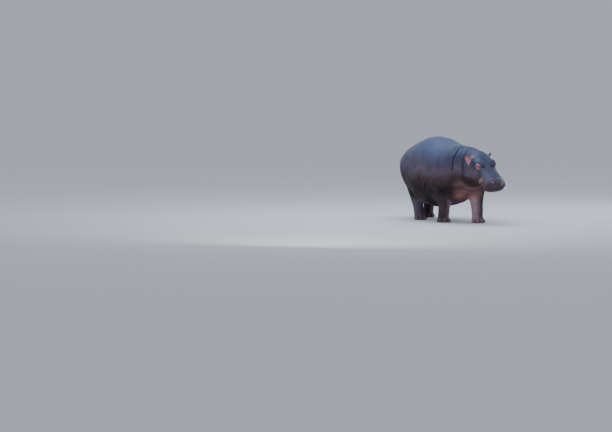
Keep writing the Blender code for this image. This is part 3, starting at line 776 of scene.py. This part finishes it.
def markings(points, normals):
    """Named shares for each point: upper, pink, ember, blush, dark and fold."""
    local = head_axes(points)
    u, v, w = local.T
    x, y, z = points.T
    sided = np.stack([u, np.abs(v), w], 1)
    face, legs, feet, tail, ears = regions(points)
    eye, nostril, mouth = detail(points)
    tear = [noise.noise_vector(Vector(p) / 0.020) + 0.5 * noise.noise_vector(Vector(p) / 0.008) for p in points]
    tear = np.array(tear)
    torn = sided + 0.011 * tear
    oval = sided - (EYE_FORWARD, EYE_ACROSS - 0.001, EYE_UP + 0.005)
    eye = np.linalg.norm(oval * (1.22, 1.0, 0.95), axis=1) + 0.0035 * tear[:, 0]
    # painted shade on the left side of the face and its ear: their pink and orange are damped
    dull = np.where(v > 0, PINK_KEPT_IN_LEFT_SHADE, 1.0)
    hind = legs * ramp(y, 0.20, 0.40)
    fore = legs * ramp(-y, -0.05, 0.10)
    inner = ramp(-normals[:, 0] * np.sign(x), -0.30, 0.95)
    # upper: the share from the warm low hide up to the slate-blue top, by height and by facing the sky. It is partly
    # the hide's own tone, partly a painted sky reflection on top and painted shade low down
    skyward = ramp(normals[:, 2], -0.55, 0.95)
    upper = 0.55 * ramp(z + 0.20 * face, 0.30, 1.18) + 0.45 * skyward
    upper -= 0.10 * face * ramp(u, 0.0, 0.12) + 0.06 * ramp(u, 0.36, 0.46)
    # painted shade under the jaw: the lower edge of the jaw, back from the mouth, is darkened
    upper -= 0.12 * face * ramp(-w, 0.19, 0.26) * (1 - ramp(u, 0.30, 0.40))
    upper = np.maximum(upper, 0.37 * ramp(u, 0.34, 0.42))
    # painted reflection of the sky on the end of the muzzle, on its left side
    upper += 0.25 * ramp(u, 0.44, 0.52) * ramp(v, 0.02, 0.08) * ramp(w, -0.11, -0.05)
    # painted light: the outer side of the lower hind legs is kept lighter, as if lit
    upper = np.maximum(upper, 0.45 * hind * (1 - inner) * ramp(0.42 - z, 0.0, 0.16))
    pink = dull * (1 - ramp(eye, 0.024, 0.032))
    ember = dull * np.maximum(0.85 * (1 - ramp(eye, 0.029, 0.041)), patched(torn, EMBER_PATCHES))
    pink = np.maximum(pink, 0.30 * (1 - ramp(nostril, 0.010, 0.026)))
    pink = np.maximum(pink, dull * patched(torn, PINK_PATCHES))
    for name, side in SIDES.items():
        low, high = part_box("ear_" + name)
        cup = by_box(points, "ear_" + name, 0.018) * ramp(normals @ EAR_OPEN[side], 0.10, 0.55)
        cup *= PINK_KEPT_IN_LEFT_SHADE if side > 0 else 1.0
        height = (z - low.z) / (high.z - low.z)
        ember = np.maximum(ember, cup * (0.30 + 0.70 * ramp(height, 0.25, 0.70)))
        pink = np.maximum(pink, cup * (0.90 - 0.72 * ramp(height, 0.30, 0.75)))
    throat = ramp(-y, 0.40, 0.60) * ramp(0.68 - z, 0.0, 0.14) * ramp(z, 0.30, 0.42)
    throat *= (1 - ramp(np.abs(x), 0.16, 0.28)) * (1 - ramp(u, 0.02, 0.14) * ramp(w, -0.46, -0.34))
    # painted warm highlight on the underside of the brisket, as light bounced up from the ground
    brisket_z = 0.377 - 0.5 * (y + 0.47)
    off = ((np.abs(x) - 0.10) / 0.12) ** 2 + ((y + 0.49) / 0.13) ** 2 + ((z - brisket_z) / 0.06) ** 2
    brisket_highlight = np.exp(-2 * off)
    ember = np.maximum(ember, np.maximum(0.78 * brisket_highlight, 0.20 * throat))
    pink = np.maximum(pink, 0.12 * brisket_highlight)
    # painted highlight: the sky's reflection on the left end of the muzzle
    muzzle_end_highlight = ramp(u, 0.46, 0.54) * ramp(v, 0.03, 0.09) * ramp(w, -0.12, -0.06)
    # the inner side of the forelegs is pinker in its own right, and lighter still as a painted highlight of a lit
    # leg. The throat's share is its own tone
    foreleg = (0.10 + 0.90 * inner) * fore * ramp(0.46 - z, 0.0, 0.12)
    blush_and_highlight = np.maximum.reduce([0.34 * throat, 0.55 * muzzle_end_highlight, foreleg])
    # painted shade in the slit of the mouth and on the lower lip under the overhanging upper lip
    dark = np.where(u > 0.30, np.exp(-((mouth / 0.005) ** 2)), 0.0)
    lower_lip = ramp(u, 0.36, 0.46) * ramp(np.interp(u, mouth_line[:, 0], mouth_line[:, 1]) - w, -0.004, 0.012)
    dark = np.maximum(dark, 0.60 * lower_lip)
    # fold: the share of painted shade, in creases, hollows and under the limbs
    fold = patched(sided + 0.006 * tear, FACE_SHADE_PATCHES)
    for name, side in SIDES.items():  # painted shade deep in the cup
        cup_floor = centre("ear_" + name) + Vector((0.014 * side, 0.008, 0.018))
        depth = np.linalg.norm(points - np.array(cup_floor), axis=1) + 0.004 * tear[:, 0]
        fold = np.maximum(fold, 0.65 * (1 - ramp(depth, 0.006, 0.030)))
    neck = ramp(-y, 0.28, 0.45) * ramp(z, 0.80, 1.00) * (1 - face)  # the top of the neck is darkened with the crease colour
    # painted shade on the hips and rump
    hips = ramp(y, 0.22, 0.52) * ramp(z, 0.60, 0.76) * (1 - ramp(z, 0.88, 1.05))
    # painted shadow under the shoulder, along the line of the armpit fold
    off = off_line(np.stack([np.abs(x), y, z], 1), smooth_line(ARMPIT, 0.03))[0]
    fold = np.maximum.reduce([fold, 0.50 * neck, 0.42 * hips, 0.80 * np.exp(-((off / 0.058) ** 2))])
    # painted shade along every furrow, darker for deeper ones
    for crease in ALL_FOLDS:
        _, width, deep, _, _ = crease
        close, off, ends = by_fold(points, crease, 3)
        shade = np.exp(-((off / (1.4 * width)) ** 2)) * ends * min(0.75, deep / 0.013)
        fold[close] = np.maximum(fold[close], shade)
    return {"upper": upper, "pink": pink, "ember": ember, "blush_and_highlight": blush_and_highlight, "dark": dark, "fold": fold}


def store(mesh, values):
    for key, value in values.items():
        layer = mesh.attributes.get(key) or mesh.attributes.new(key, "FLOAT", "POINT")
        layer.data.foreach_set("value", np.clip(value, 0, 1).astype(np.float32))


marks = markings(*skin())
store(hide.data, marks)
print("markings:", {key: round(float(value.mean()), 3) for key, value in marks.items()})

# %% [markdown]
# ## Colours and relief of the hide
# Hide is built from a few patterns that more than one material uses, so each is a node group made
# once: a network of fine wrinkles, a soft mottling and the hide's own colours. The wrinkles are the
# borders of small cells, as in cracked mud, because hide creases in just that way.


# %% Node helpers
def added(tree, kind, inputs=None, **settings):
    """A new node with its settings. An input is given a number, a colour or another node's output."""
    made = tree.nodes.new(kind)
    for key, value in settings.items():
        setattr(made, key, value)
    for key, value in (inputs or {}).items():
        feed(tree, made.inputs[key], value)
    return made


def feed(tree, socket, value):
    if isinstance(value, bpy.types.NodeSocket):
        tree.links.new(value, socket)
    elif socket.type == "RGBA":
        socket.default_value = (*value, 1)
    else:
        socket.default_value = value


def mathed(tree, operation, *values, clamp=False):
    return added(tree, "ShaderNodeMath", dict(enumerate(values)), operation=operation, use_clamp=clamp).outputs[0]


def times(tree, first, second):
    return mathed(tree, "MULTIPLY", first, second)


def blended(tree, share, first, second, kind="MIX"):
    """A colour mix by a share."""
    inputs = {0: share, 6: first, 7: second}
    return added(tree, "ShaderNodeMix", inputs, data_type="RGBA", blend_type=kind).outputs[2]


def ranged(tree, value, start, end, low=0.0, high=1.0):
    """A soft step from low to high."""
    inputs = {"Value": value, "From Min": start, "From Max": end, "To Min": low, "To Max": high}
    return added(tree, "ShaderNodeMapRange", inputs, interpolation_type="SMOOTHSTEP").outputs["Result"]


def noised(tree, vector, scale, detail=4.0, roughness=0.5, output="Fac"):
    inputs = {"Vector": vector, "Scale": scale, "Detail": detail, "Roughness": roughness}
    return added(tree, "ShaderNodeTexNoise", inputs).outputs[output]


def attribute(tree, name):
    return added(tree, "ShaderNodeAttribute", attribute_name=name).outputs["Fac"]


def object_place(tree):
    return added(tree, "ShaderNodeTexCoord").outputs["Object"]


def new_group(name, inputs, outputs):
    """A node group, with its inputs' names and defaults, and its outputs' names and kinds."""
    group = bpy.data.node_groups.new(name, "ShaderNodeTree")
    for label, default in inputs.items():
        group.interface.new_socket(label, in_out="INPUT", socket_type="NodeSocketFloat").default_value = default
    for label, kind in outputs.items():
        group.interface.new_socket(label, in_out="OUTPUT", socket_type="NodeSocket" + kind)
    return group, group.nodes.new("NodeGroupInput").outputs, group.nodes.new("NodeGroupOutput").inputs


def grouped(tree, group, **inputs):
    """One use of a node group, with its own values."""
    return added(tree, "ShaderNodeGroup", {key.replace("_", " "): value for key, value in inputs.items()},
                 node_tree=group)


# %% Fine wrinkles, as a height
def wrinkle_group():
    group, given, out = new_group("fine wrinkles", {"Cell size": 60.0, "Grain": 0.35},
                                  {"Height": "Float", "Crease": "Float"})
    here = object_place(group)
    warp = {0: noised(group, here, 22, 2.0, output="Color"), 1: (0.022, 0.022, 0.022), 2: here}
    warped = added(group, "ShaderNodeVectorMath", warp, operation="MULTIPLY_ADD").outputs["Vector"]
    heights = []
    for finer in (1.0, 2.7):
        inputs = {"Vector": warped, "Scale": times(group, given["Cell size"], finer)}
        cells = added(group, "ShaderNodeTexVoronoi", inputs, feature="DISTANCE_TO_EDGE")
        heights.append(ranged(group, cells.outputs["Distance"], 0.0, 0.16))
    height = mathed(group, "ADD", times(group, heights[0], 0.62), times(group, heights[1], 0.30))
    grain = times(group, noised(group, here, 420, 3.0, 0.55), given["Grain"])
    feed(group, out["Height"], mathed(group, "ADD", height, grain))
    feed(group, out["Crease"], mathed(group, "SUBTRACT", 1.0, heights[0]))
    return group


# %% Mottling, as a mask
def mottle_group():
    group, given, out = new_group("mottling", {"Size": 5.0, "Speck size": 90.0},
                                  {"Patches": "Float", "Specks": "Float"})
    here = object_place(group)
    feed(group, out["Patches"], ranged(group, noised(group, here, given["Size"], 7.0, 0.62), 0.36, 0.66))
    feed(group, out["Specks"], ranged(group, noised(group, here, given["Speck size"], 3.0), 0.56, 0.70))
    return group


WRINKLES = wrinkle_group()
MOTTLING = mottle_group()

# %% The hide's colours
HIDE_BY_HEIGHT_SKY_AND_SHADE = (  # share of the way up, and the colour there: the blue top is partly a painted sky reflection, the near-black bottom painted shade
    (0.00, (0.006, 0.003, 0.004)),
    (0.20, (0.042, 0.021, 0.024)),
    (0.31, (0.076, 0.049, 0.060)),
    (0.44, (0.122, 0.094, 0.132)),
    (0.62, (0.080, 0.066, 0.106)),
    (0.82, (0.070, 0.080, 0.145)),
    (1.00, (0.085, 0.115, 0.225)),
)
PINK = (0.70, 0.33, 0.35)
EMBER = (0.39, 0.135, 0.092)
BLUSH_AND_HIGHLIGHT = (0.43, 0.290, 0.350)
SPECK = (0.13, 0.09, 0.10)
# the painted shade of the mouth's slit and the lower lip
LIP_SHADE = (0.060, 0.046, 0.038)
MAROON = (0.046, 0.022, 0.026)
# the colours of painted shade in creases and hollows: bluish high on the body, near black low down
CREASE_SHADE = (0.011, 0.009, 0.042)
CREASE_SHADE_BELOW = (0.009, 0.005, 0.008)
THIN_SKIN = ("blush_and_highlight", "ember", "pink")  # the markings with frayed edges


def hide_colour_group():
    group, _, out = new_group("hide colours", {}, {"Color": "Color", "Wet": "Float"})
    patches, specks = grouped(group, MOTTLING, Size=4.2, Speck_size=85.0).outputs
    # the share up the body: its blue top is partly a painted reflection of the sky, its dark bottom painted shade
    # under the body
    upper = mathed(group, "ADD", attribute(group, "upper"), mathed(group, "MULTIPLY_ADD", patches, 0.16, -0.08),
                   clamp=True)
    by_height = added(group, "ShaderNodeValToRGB", {"Fac": upper})
    stops = by_height.color_ramp.elements
    stops.remove(stops[1])
    for position, colour in HIDE_BY_HEIGHT_SKY_AND_SHADE:
        stop = stops.new(position) if position else stops[0]
        stop.color = (*colour, 1)
    warm = times(group, mathed(group, "SUBTRACT", 1.0, upper), patches)
    colour = blended(group, times(group, warm, 0.55), by_height.outputs["Color"], MAROON)
    colour = blended(group, times(group, specks, 0.16), colour, SPECK)
    # the colour of the painted shade in creases, bluish above and near black below
    crease = blended(group, ranged(group, upper, 0.20, 0.50), CREASE_SHADE_BELOW, CREASE_SHADE)
    fray = mathed(group, "SUBTRACT", noised(group, object_place(group), 55, 6.0, 0.7), 0.5)
    frayed = mathed(group, "MULTIPLY_ADD", fray, 3.0, 1.0)
    overlays = {"blush_and_highlight": BLUSH_AND_HIGHLIGHT, "fold": crease, "dark": LIP_SHADE, "ember": EMBER, "pink": PINK}
    for key, tint in overlays.items():
        share = attribute(group, key)
        if key in THIN_SKIN:
            share = times(group, share, frayed)
        colour = blended(group, mathed(group, "MULTIPLY", share, 0.90, clamp=True), colour, tint)
    feed(group, out["Color"], colour)
    dry = mathed(group, "MULTIPLY_ADD", patches, -0.4, 1.0)
    feed(group, out["Wet"], times(group, ranged(group, upper, 0.25, 0.75, 0.10, 1.0), dry))
    return group


HIDE_COLOURS = hide_colour_group()
print("node groups:", [group.name for group in bpy.data.node_groups])


# %% Hide material
def new_material(name, **constants):
    """A material whose shader has some plain values, such as Coat_Weight."""
    made = bpy.data.materials.new(name)
    made.use_nodes = True
    shader = made.node_tree.nodes["Principled BSDF"]
    for key, value in constants.items():
        shader.inputs[key.replace("_", " ")].default_value = value
    return made, made.node_tree, shader.inputs


def relief(tree, inputs, height, strength, distance):
    bump = added(tree, "ShaderNodeBump", {"Strength": strength, "Distance": distance, "Height": height})
    feed(tree, inputs["Normal"], bump.outputs["Normal"])


def hide_material():
    made, tree, inputs = new_material("wet hide", Specular_IOR_Level=0.20, Coat_Roughness=0.30)
    colour, wet = grouped(tree, HIDE_COLOURS).outputs
    height, crease = grouped(tree, WRINKLES, Cell_size=68.0, Grain=0.30).outputs
    # painted shade in the fine wrinkles: the colour is darkened along their creases
    feed(tree, inputs["Base Color"], blended(tree, times(tree, crease, 0.20), colour, (0.55, 0.50, 0.52), "MULTIPLY"))
    feed(tree, inputs["Roughness"], ranged(tree, wet, 0.1, 1.0, 0.70, 0.44))
    feed(tree, inputs["Coat Weight"], ranged(tree, wet, 0.1, 1.0, 0.0, 0.28))
    relief(tree, inputs, height, 0.55, 0.0016)
    return made


hide.data.materials.clear()
hide.data.materials.append(hide_material())
print("hide material has", len(hide.data.materials[0].node_tree.nodes), "nodes")

# %% [markdown]
# ## Eyeballs
# The solid eyes are faceted. Each gets a smooth ball of the same size with a cornea that stands a
# little proud, since a wet round cornea is what catches the light and makes an eye look alive.

# %% Make the eyeballs
PUPIL_FORWARD = 0.16  # how far it looks ahead, as a share of the ball's radius


def eyeball(name, side):
    middle, gaze, long_way, high_way = eye_axes(side)
    turn = Matrix((long_way, high_way, gaze)).transposed()
    handed = 1 if turn.determinant() > 0 else -1
    turn = Matrix((long_way * handed, high_way, gaze)).transposed()
    ball = bmesh.new()
    bmesh.ops.create_uvsphere(ball, u_segments=48, v_segments=32, radius=EYE_RADIUS)
    for vert in ball.verts:
        vert.co *= 1 + 0.05 * float(ramp(vert.co.z / EYE_RADIUS, 0.72, 0.95))  # the cornea's bulge
    at = np.array([vert.co / EYE_RADIUS for vert in ball.verts])
    turned = np.degrees(np.arccos(at[:, 2] / np.linalg.norm(at, axis=1)))
    bmesh.ops.transform(ball, matrix=Matrix.Translation(middle) @ turn.to_4x4(), verts=ball.verts)
    mesh = bpy.data.meshes.new(name)
    ball.to_mesh(mesh)
    ball.free()
    kept = {"iris_out": turned / 90, "iris_x": handed * at[:, 0] - PUPIL_FORWARD, "iris_y": at[:, 1]}
    for key, values in kept.items():
        mesh.attributes.new(key, "FLOAT", "POINT").data.foreach_set("value", values.astype(np.float32))
    mesh.shade_smooth()
    return shown(name, mesh)


eyes = [eyeball("eyeball_" + side, SIDES[side]) for side in SIDES]
for piece, node in zip(eyes, EYES):
    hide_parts(node)
    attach(piece, "root")
print("eyeballs:", [piece.name for piece in eyes])


# %% Eye material
def eye_material():
    """A dark, broad pupil in a red-brown iris, and a brown rim, under a wet cornea."""
    made, tree, inputs = new_material("wet eye", Roughness=0.12, Specular_IOR_Level=0.25, Coat_Weight=0.5,
                                      Coat_Roughness=0.03)
    x, y, out = (attribute(tree, name) for name in ("iris_x", "iris_y", "iris_out"))
    across, up = (times(tree, times(tree, way, way), 1 / half**2) for way, half in ((x, 0.36), (y, 0.24)))
    oval = mathed(tree, "ADD", across, up)
    patches = grouped(tree, MOTTLING, Size=300.0, Speck_size=900.0).outputs["Patches"]
    iris = blended(tree, patches, (0.050, 0.008, 0.005), (0.095, 0.020, 0.009))
    ball = blended(tree, ranged(tree, out, 0.34, 0.46), iris, (0.075, 0.016, 0.014))
    feed(tree, inputs["Base Color"], blended(tree, ranged(tree, oval, 0.8, 1.25), (0.006, 0.004, 0.004), ball))
    return made


wet_eye = eye_material()
for piece in eyes:
    piece.data.materials.append(wet_eye)

# %% [markdown]
# ## Nails
# Each toe ends in a blunt, rounded nail like a small hoof. The solid nails are faceted balls of the
# right size and place, so a copy of each is merged and subdivided until it is round.

# %% Round the nails
nails = bmesh.new()
NAILS = [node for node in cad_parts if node.startswith("nail_")]
NAIL_WORN = 0.55  # where the worn edge starts, as a share of the half height below the middle
for node in NAILS:
    shape = merged(node)
    bmesh.ops.subdivide_edges(shape, edges=shape.edges, cuts=1, use_grid_fill=True, smooth=1.0)
    middle = centre(node)
    half = max(vert.co.z for vert in shape.verts) - middle.z
    for vert in shape.verts:
        below = (middle.z - vert.co.z) / half - NAIL_WORN
        if below > 0:  # worn to a straight edge just over the ground
            vert.co.z = middle.z - half * (NAIL_WORN + 0.35 * below)
    rounded = bpy.data.meshes.new(node + "_round")
    shape.to_mesh(rounded)
    shape.free()
    nails.from_mesh(rounded)
nails_mesh = bpy.data.meshes.new("nails")
nails.to_mesh(nails_mesh)
nails.free()
nails = shown("nails", nails_mesh)
rounder = nails.modifiers.new("rounder", "SUBSURF")
rounder.levels = rounder.render_levels = 1
settled(nails)
nails.data.shade_smooth()
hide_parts(*NAILS)
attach(nails, "root")
print("nails:", len(NAILS), "with", len(nails.data.polygons), "faces")


# %% Nail material
def nail_material():
    """Horn: brown-grey, streaked from the root down, and paler where it is worn at the ground."""
    made, tree, inputs = new_material("toe horn")
    here = object_place(tree)
    stretched = added(tree, "ShaderNodeMapping", {"Vector": here, "Scale": (1.0, 1.0, 0.14)}).outputs["Vector"]
    streaks = noised(tree, stretched, 260, 3.0, 0.55)
    patches = grouped(tree, MOTTLING, Size=24.0, Speck_size=220.0).outputs["Patches"]
    horn = blended(tree, ranged(tree, streaks, 0.35, 0.65), (0.090, 0.062, 0.050), (0.185, 0.135, 0.108))
    horn = blended(tree, times(tree, patches, 0.4), horn, (0.075, 0.055, 0.050))
    height = added(tree, "ShaderNodeSeparateXYZ", {0: here}).outputs["Z"]
    worn = blended(tree, ranged(tree, height, 0.016, 0.004), horn, (0.19, 0.155, 0.135))
    feed(tree, inputs["Base Color"], worn)
    feed(tree, inputs["Roughness"], ranged(tree, streaks, 0.3, 0.7, 0.34, 0.50))
    relief(tree, inputs, streaks, 0.4, 0.0012)
    return made


nails.data.materials.clear()
nails.data.materials.append(nail_material())

# %% [markdown]
# ## Bristles
# A hippopotamus is all but naked. It has stiff, sparse bristles on the lips and muzzle, a fringe on
# the ears' rims and two combs of coarser hair at the end of the tail. Each one is a thin, tapering,
# three-sided spine that rises from the skin and droops a little. It keeps its root's place on an
# unwrap of the head, ear or tail, and its root's markings, so that it starts in the hide's colour,
# its painted light and shade included.

# %% Where the bristles stand
BRISTLE_RINGS = 4
rng = np.random.default_rng(11)
points, normals = skin()
local = head_axes(points)
u, v, w = local.T
eye, nostril, mouth = detail(points)
face, legs, feet, tail, ears = regions(points)
lip_share = ramp(u, 0.36, 0.50) * np.exp(-(((mouth - 0.030) / 0.026) ** 2)) * (mouth > 0.008)
muzzle_share = 0.20 * ramp(u, 0.42, 0.54) * ramp(nostril, 0.020, 0.035)
tail_low, tail_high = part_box("tail")
low_tail = 1 - ramp(points[:, 2], tail_low.z + 0.02, tail_low.z + 0.15)
sided_tail = ramp(np.abs(normals[:, 0]), 0.45, 0.85)


def ear_rim(side, node):
    """High on the edge of an ear, where the skin faces neither into the cup nor out of its back."""
    low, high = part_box(node)
    edge = 1 - np.abs(normals @ EAR_OPEN[side])
    height = (points[:, 2] - low.z) / (high.z - low.z)
    return by_box(points, node, 0.004) * ramp(edge, 0.55, 0.90) * ramp(height, 0.45, 0.75)


# share of the skin's points to choose from, count, length, half thickness, droop, and the place of its
# patch of the unwrap
TUFTS = (
    (lip_share, 420, 0.017, 0.00042, 0.35, "muzzle"),
    (muzzle_share, 130, 0.012, 0.00038, 0.25, "muzzle"),
    (ear_rim(1, "ear_left"), 70, 0.012, 0.00036, 0.10, "ear_left"),
    (ear_rim(-1, "ear_right"), 70, 0.012, 0.00036, 0.10, "ear_right"),
    (tail * low_tail * sided_tail, 260, 0.044, 0.00055, 1.5, "tail"),
)
ATLAS = {  # corner and size of each part's patch
    "muzzle": (0.02, 0.02, 0.60, 0.96),
    "ear_left": (0.65, 0.02, 0.15, 0.45),
    "ear_right": (0.82, 0.02, 0.15, 0.45),
    "tail": (0.65, 0.52, 0.32, 0.46),
}
MUZZLE_MIDDLE = np.array(in_head(0.42, 0, -0.12))


def unwrapped(root, part):
    """The root's place on an unwrap: angle round the part's own axis, and distance along it."""
    if part == "muzzle":
        along, aside, high = (root - MUZZLE_MIDDLE) @ HEAD_TURN.T
        turn = (math.atan2(aside, high) / math.tau) % 1.0
        reach = (along + 0.12) / 0.32
    else:
        low, high = (np.array(corner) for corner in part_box(part))
        middle = (low + high) / 2
        turn = (math.atan2(root[0] - middle[0], root[1] - middle[1]) / math.tau) % 1.0
        reach = (root[2] - low[2]) / (high[2] - low[2])
    left, bottom, wide, tall = ATLAS[part]
    return left + wide * turn, bottom + tall * min(1.0, max(0.0, reach))


# %% Grow the bristles
bristle_mesh = bmesh.new()
bake_map = bristle_mesh.loops.layers.uv.new("OFBake")
tip_share = bristle_mesh.verts.layers.float.new("toward_tip")
root_of = []
for share, count, length, thick, droop, part in TUFTS:
    chosen = rng.choice(len(points), size=count, replace=False, p=share / share.sum())
    for index in chosen:
        root = Vector(points[index])
        grow = (Vector(normals[index]) + 0.35 * Vector(rng.normal(size=3)) - Vector((0, 0, droop))).normalized()
        bend = Vector((0, 0, -droop * 0.6))
        reach = length * rng.uniform(0.55, 1.25)
        side_one = grow.orthogonal().normalized()
        side_two = grow.cross(side_one)
        spot = unwrapped(points[index], part)
        rings = []
        for k in range(BRISTLE_RINGS):
            t = k / BRISTLE_RINGS
            middle = root + grow * reach * (t - 0.08) + bend * reach * t * t
            wide = thick * (1 - 0.85 * t)
            ring = []
            for corner in range(3):
                a = math.tau * corner / 3
                vert = bristle_mesh.verts.new(middle + (side_one * math.cos(a) + side_two * math.sin(a)) * wide)
                vert[tip_share] = t
                ring.append(vert)
            rings.append(ring)
        tip = bristle_mesh.verts.new(root + grow * reach * 0.92 + bend * reach)
        tip[tip_share] = 1.0
        root_of += [index] * (3 * BRISTLE_RINGS + 1)
        faces = [tuple(reversed(rings[0]))]
        for near, far in zip(rings, rings[1:]):
            faces += [(near[c], near[(c + 1) % 3], far[(c + 1) % 3], far[c]) for c in range(3)]
        faces += [(rings[-1][c], rings[-1][(c + 1) % 3], tip) for c in range(3)]
        for corners in faces:
            facet = bristle_mesh.faces.new(corners)
            for loop in facet.loops:
                t = loop.vert[tip_share]
                turn = math.tau * (corners.index(loop.vert) / len(corners))
                loop[bake_map].uv = (spot[0] + 0.0015 * math.cos(turn), spot[1] + 0.003 * t - 0.0015)
mesh = bpy.data.meshes.new("bristles")
bristle_mesh.to_mesh(mesh)
bristle_mesh.free()
bristles = shown("bristles", mesh)
mesh.shade_smooth()
store(mesh, {key: value[root_of] for key, value in marks.items()})
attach(bristles, "root")
print("bristles:", len(root_of) // (3 * BRISTLE_RINGS + 1), "in", len(mesh.polygons), "faces")


# %% Bristle material
def bristle_material():
    """Hide colour at the root, then a dull straw brown towards the tip."""
    made, tree, inputs = new_material("stiff bristle", Roughness=0.5)
    colour = grouped(tree, HIDE_COLOURS).outputs["Color"]
    tipward = ranged(tree, attribute(tree, "toward_tip"), 0.0, 0.7)
    feed(tree, inputs["Base Color"], blended(tree, tipward, colour, (0.120, 0.100, 0.085)))
    return made


bristles.data.materials.append(bristle_material())

# %% [markdown]
# ## Floor, lamps and camera
# A museum shows such a model on a plain pale floor under soft, even light. A wide cool lamp overhead
# stands for the sky, which a wet back mirrors as blue, and two weaker ones open the shadows: a warm one
# from the viewer's left and a cool one from the far side. The camera stands off the animal's right
# front, a little above it, and so far away that it draws the animal almost without perspective.

# %% Floor
ground = bmesh.new()
bmesh.ops.create_grid(ground, x_segments=1, y_segments=1, size=900.0)  # so wide that its edges never show
floor_mesh = bpy.data.meshes.new("floor")
ground.to_mesh(floor_mesh)
ground.free()
floor = shown("floor", floor_mesh)
pale, _, _ = new_material("pale floor", Base_Color=(0.90, 0.88, 0.85, 1), Roughness=0.9)
floor.data.materials.append(pale)

# %% Lamps
world = bpy.data.worlds.new("studio")
bpy.context.scene.world = world
world.use_nodes = True
sky = world.node_tree.nodes["Background"].inputs
sky["Color"].default_value = (0.78, 0.86, 1.0, 1)
sky["Strength"].default_value = 0.60


def lamp(name, place_at, width, power, colour):
    """A round, soft lamp that looks at the animal's middle."""
    light = bpy.data.lights.new(name, "AREA")
    light.shape = "DISK"
    light.size = width
    light.energy = power
    light.color = colour
    stand = bpy.data.objects.new(name, light)
    bpy.context.scene.collection.objects.link(stand)
    stand.location = place_at
    stand.rotation_mode = "QUATERNION"
    stand.rotation_quaternion = (Vector((0, 0, 0.6)) - Vector(place_at)).to_track_quat("-Z", "Y")
    stand.visible_camera = False


lamp("overhead", (-0.6, 0.8, 5.5), 6.0, 230, (0.66, 0.81, 1.0))
lamp("far fill", (5.0, 1.0, 2.4), 3.0, 35, (0.80, 0.88, 1.0))
lamp("fill", (-4.5, -4.0, 2.2), 3.0, 50, (1.0, 0.92, 0.84))

# %% Camera
VIEW_AZIMUTH = math.radians(-28)
VIEW_HEIGHT = math.radians(3.5)
DISTANCE = 400.0
PICTURE_WIDTH = 8.8128  # of what the camera sees at that distance
right = Vector((math.cos(VIEW_AZIMUTH), math.sin(VIEW_AZIMUTH), 0))
away = Vector((right.y * math.cos(VIEW_HEIGHT), -right.x * math.cos(VIEW_HEIGHT), math.sin(VIEW_HEIGHT)))
above = away.cross(right)
BODY_ON_FLOOR = Vector((-0.0004, 0.2798, 0))  # below the rump; the picture's middle is off to its left
aim = BODY_ON_FLOOR - right * 1.9296 + above * 0.0605
lens = bpy.data.cameras.new("camera")
lens.sensor_width = 36.0
lens.lens = 36.0 * DISTANCE / PICTURE_WIDTH
lens.clip_end = 2000
camera = bpy.data.objects.new("camera", lens)
bpy.context.scene.collection.objects.link(camera)
camera.location = aim + away * DISTANCE
camera.rotation_mode = "QUATERNION"
camera.rotation_quaternion = (-away).to_track_quat("-Z", "Y")
bpy.context.scene.camera = camera
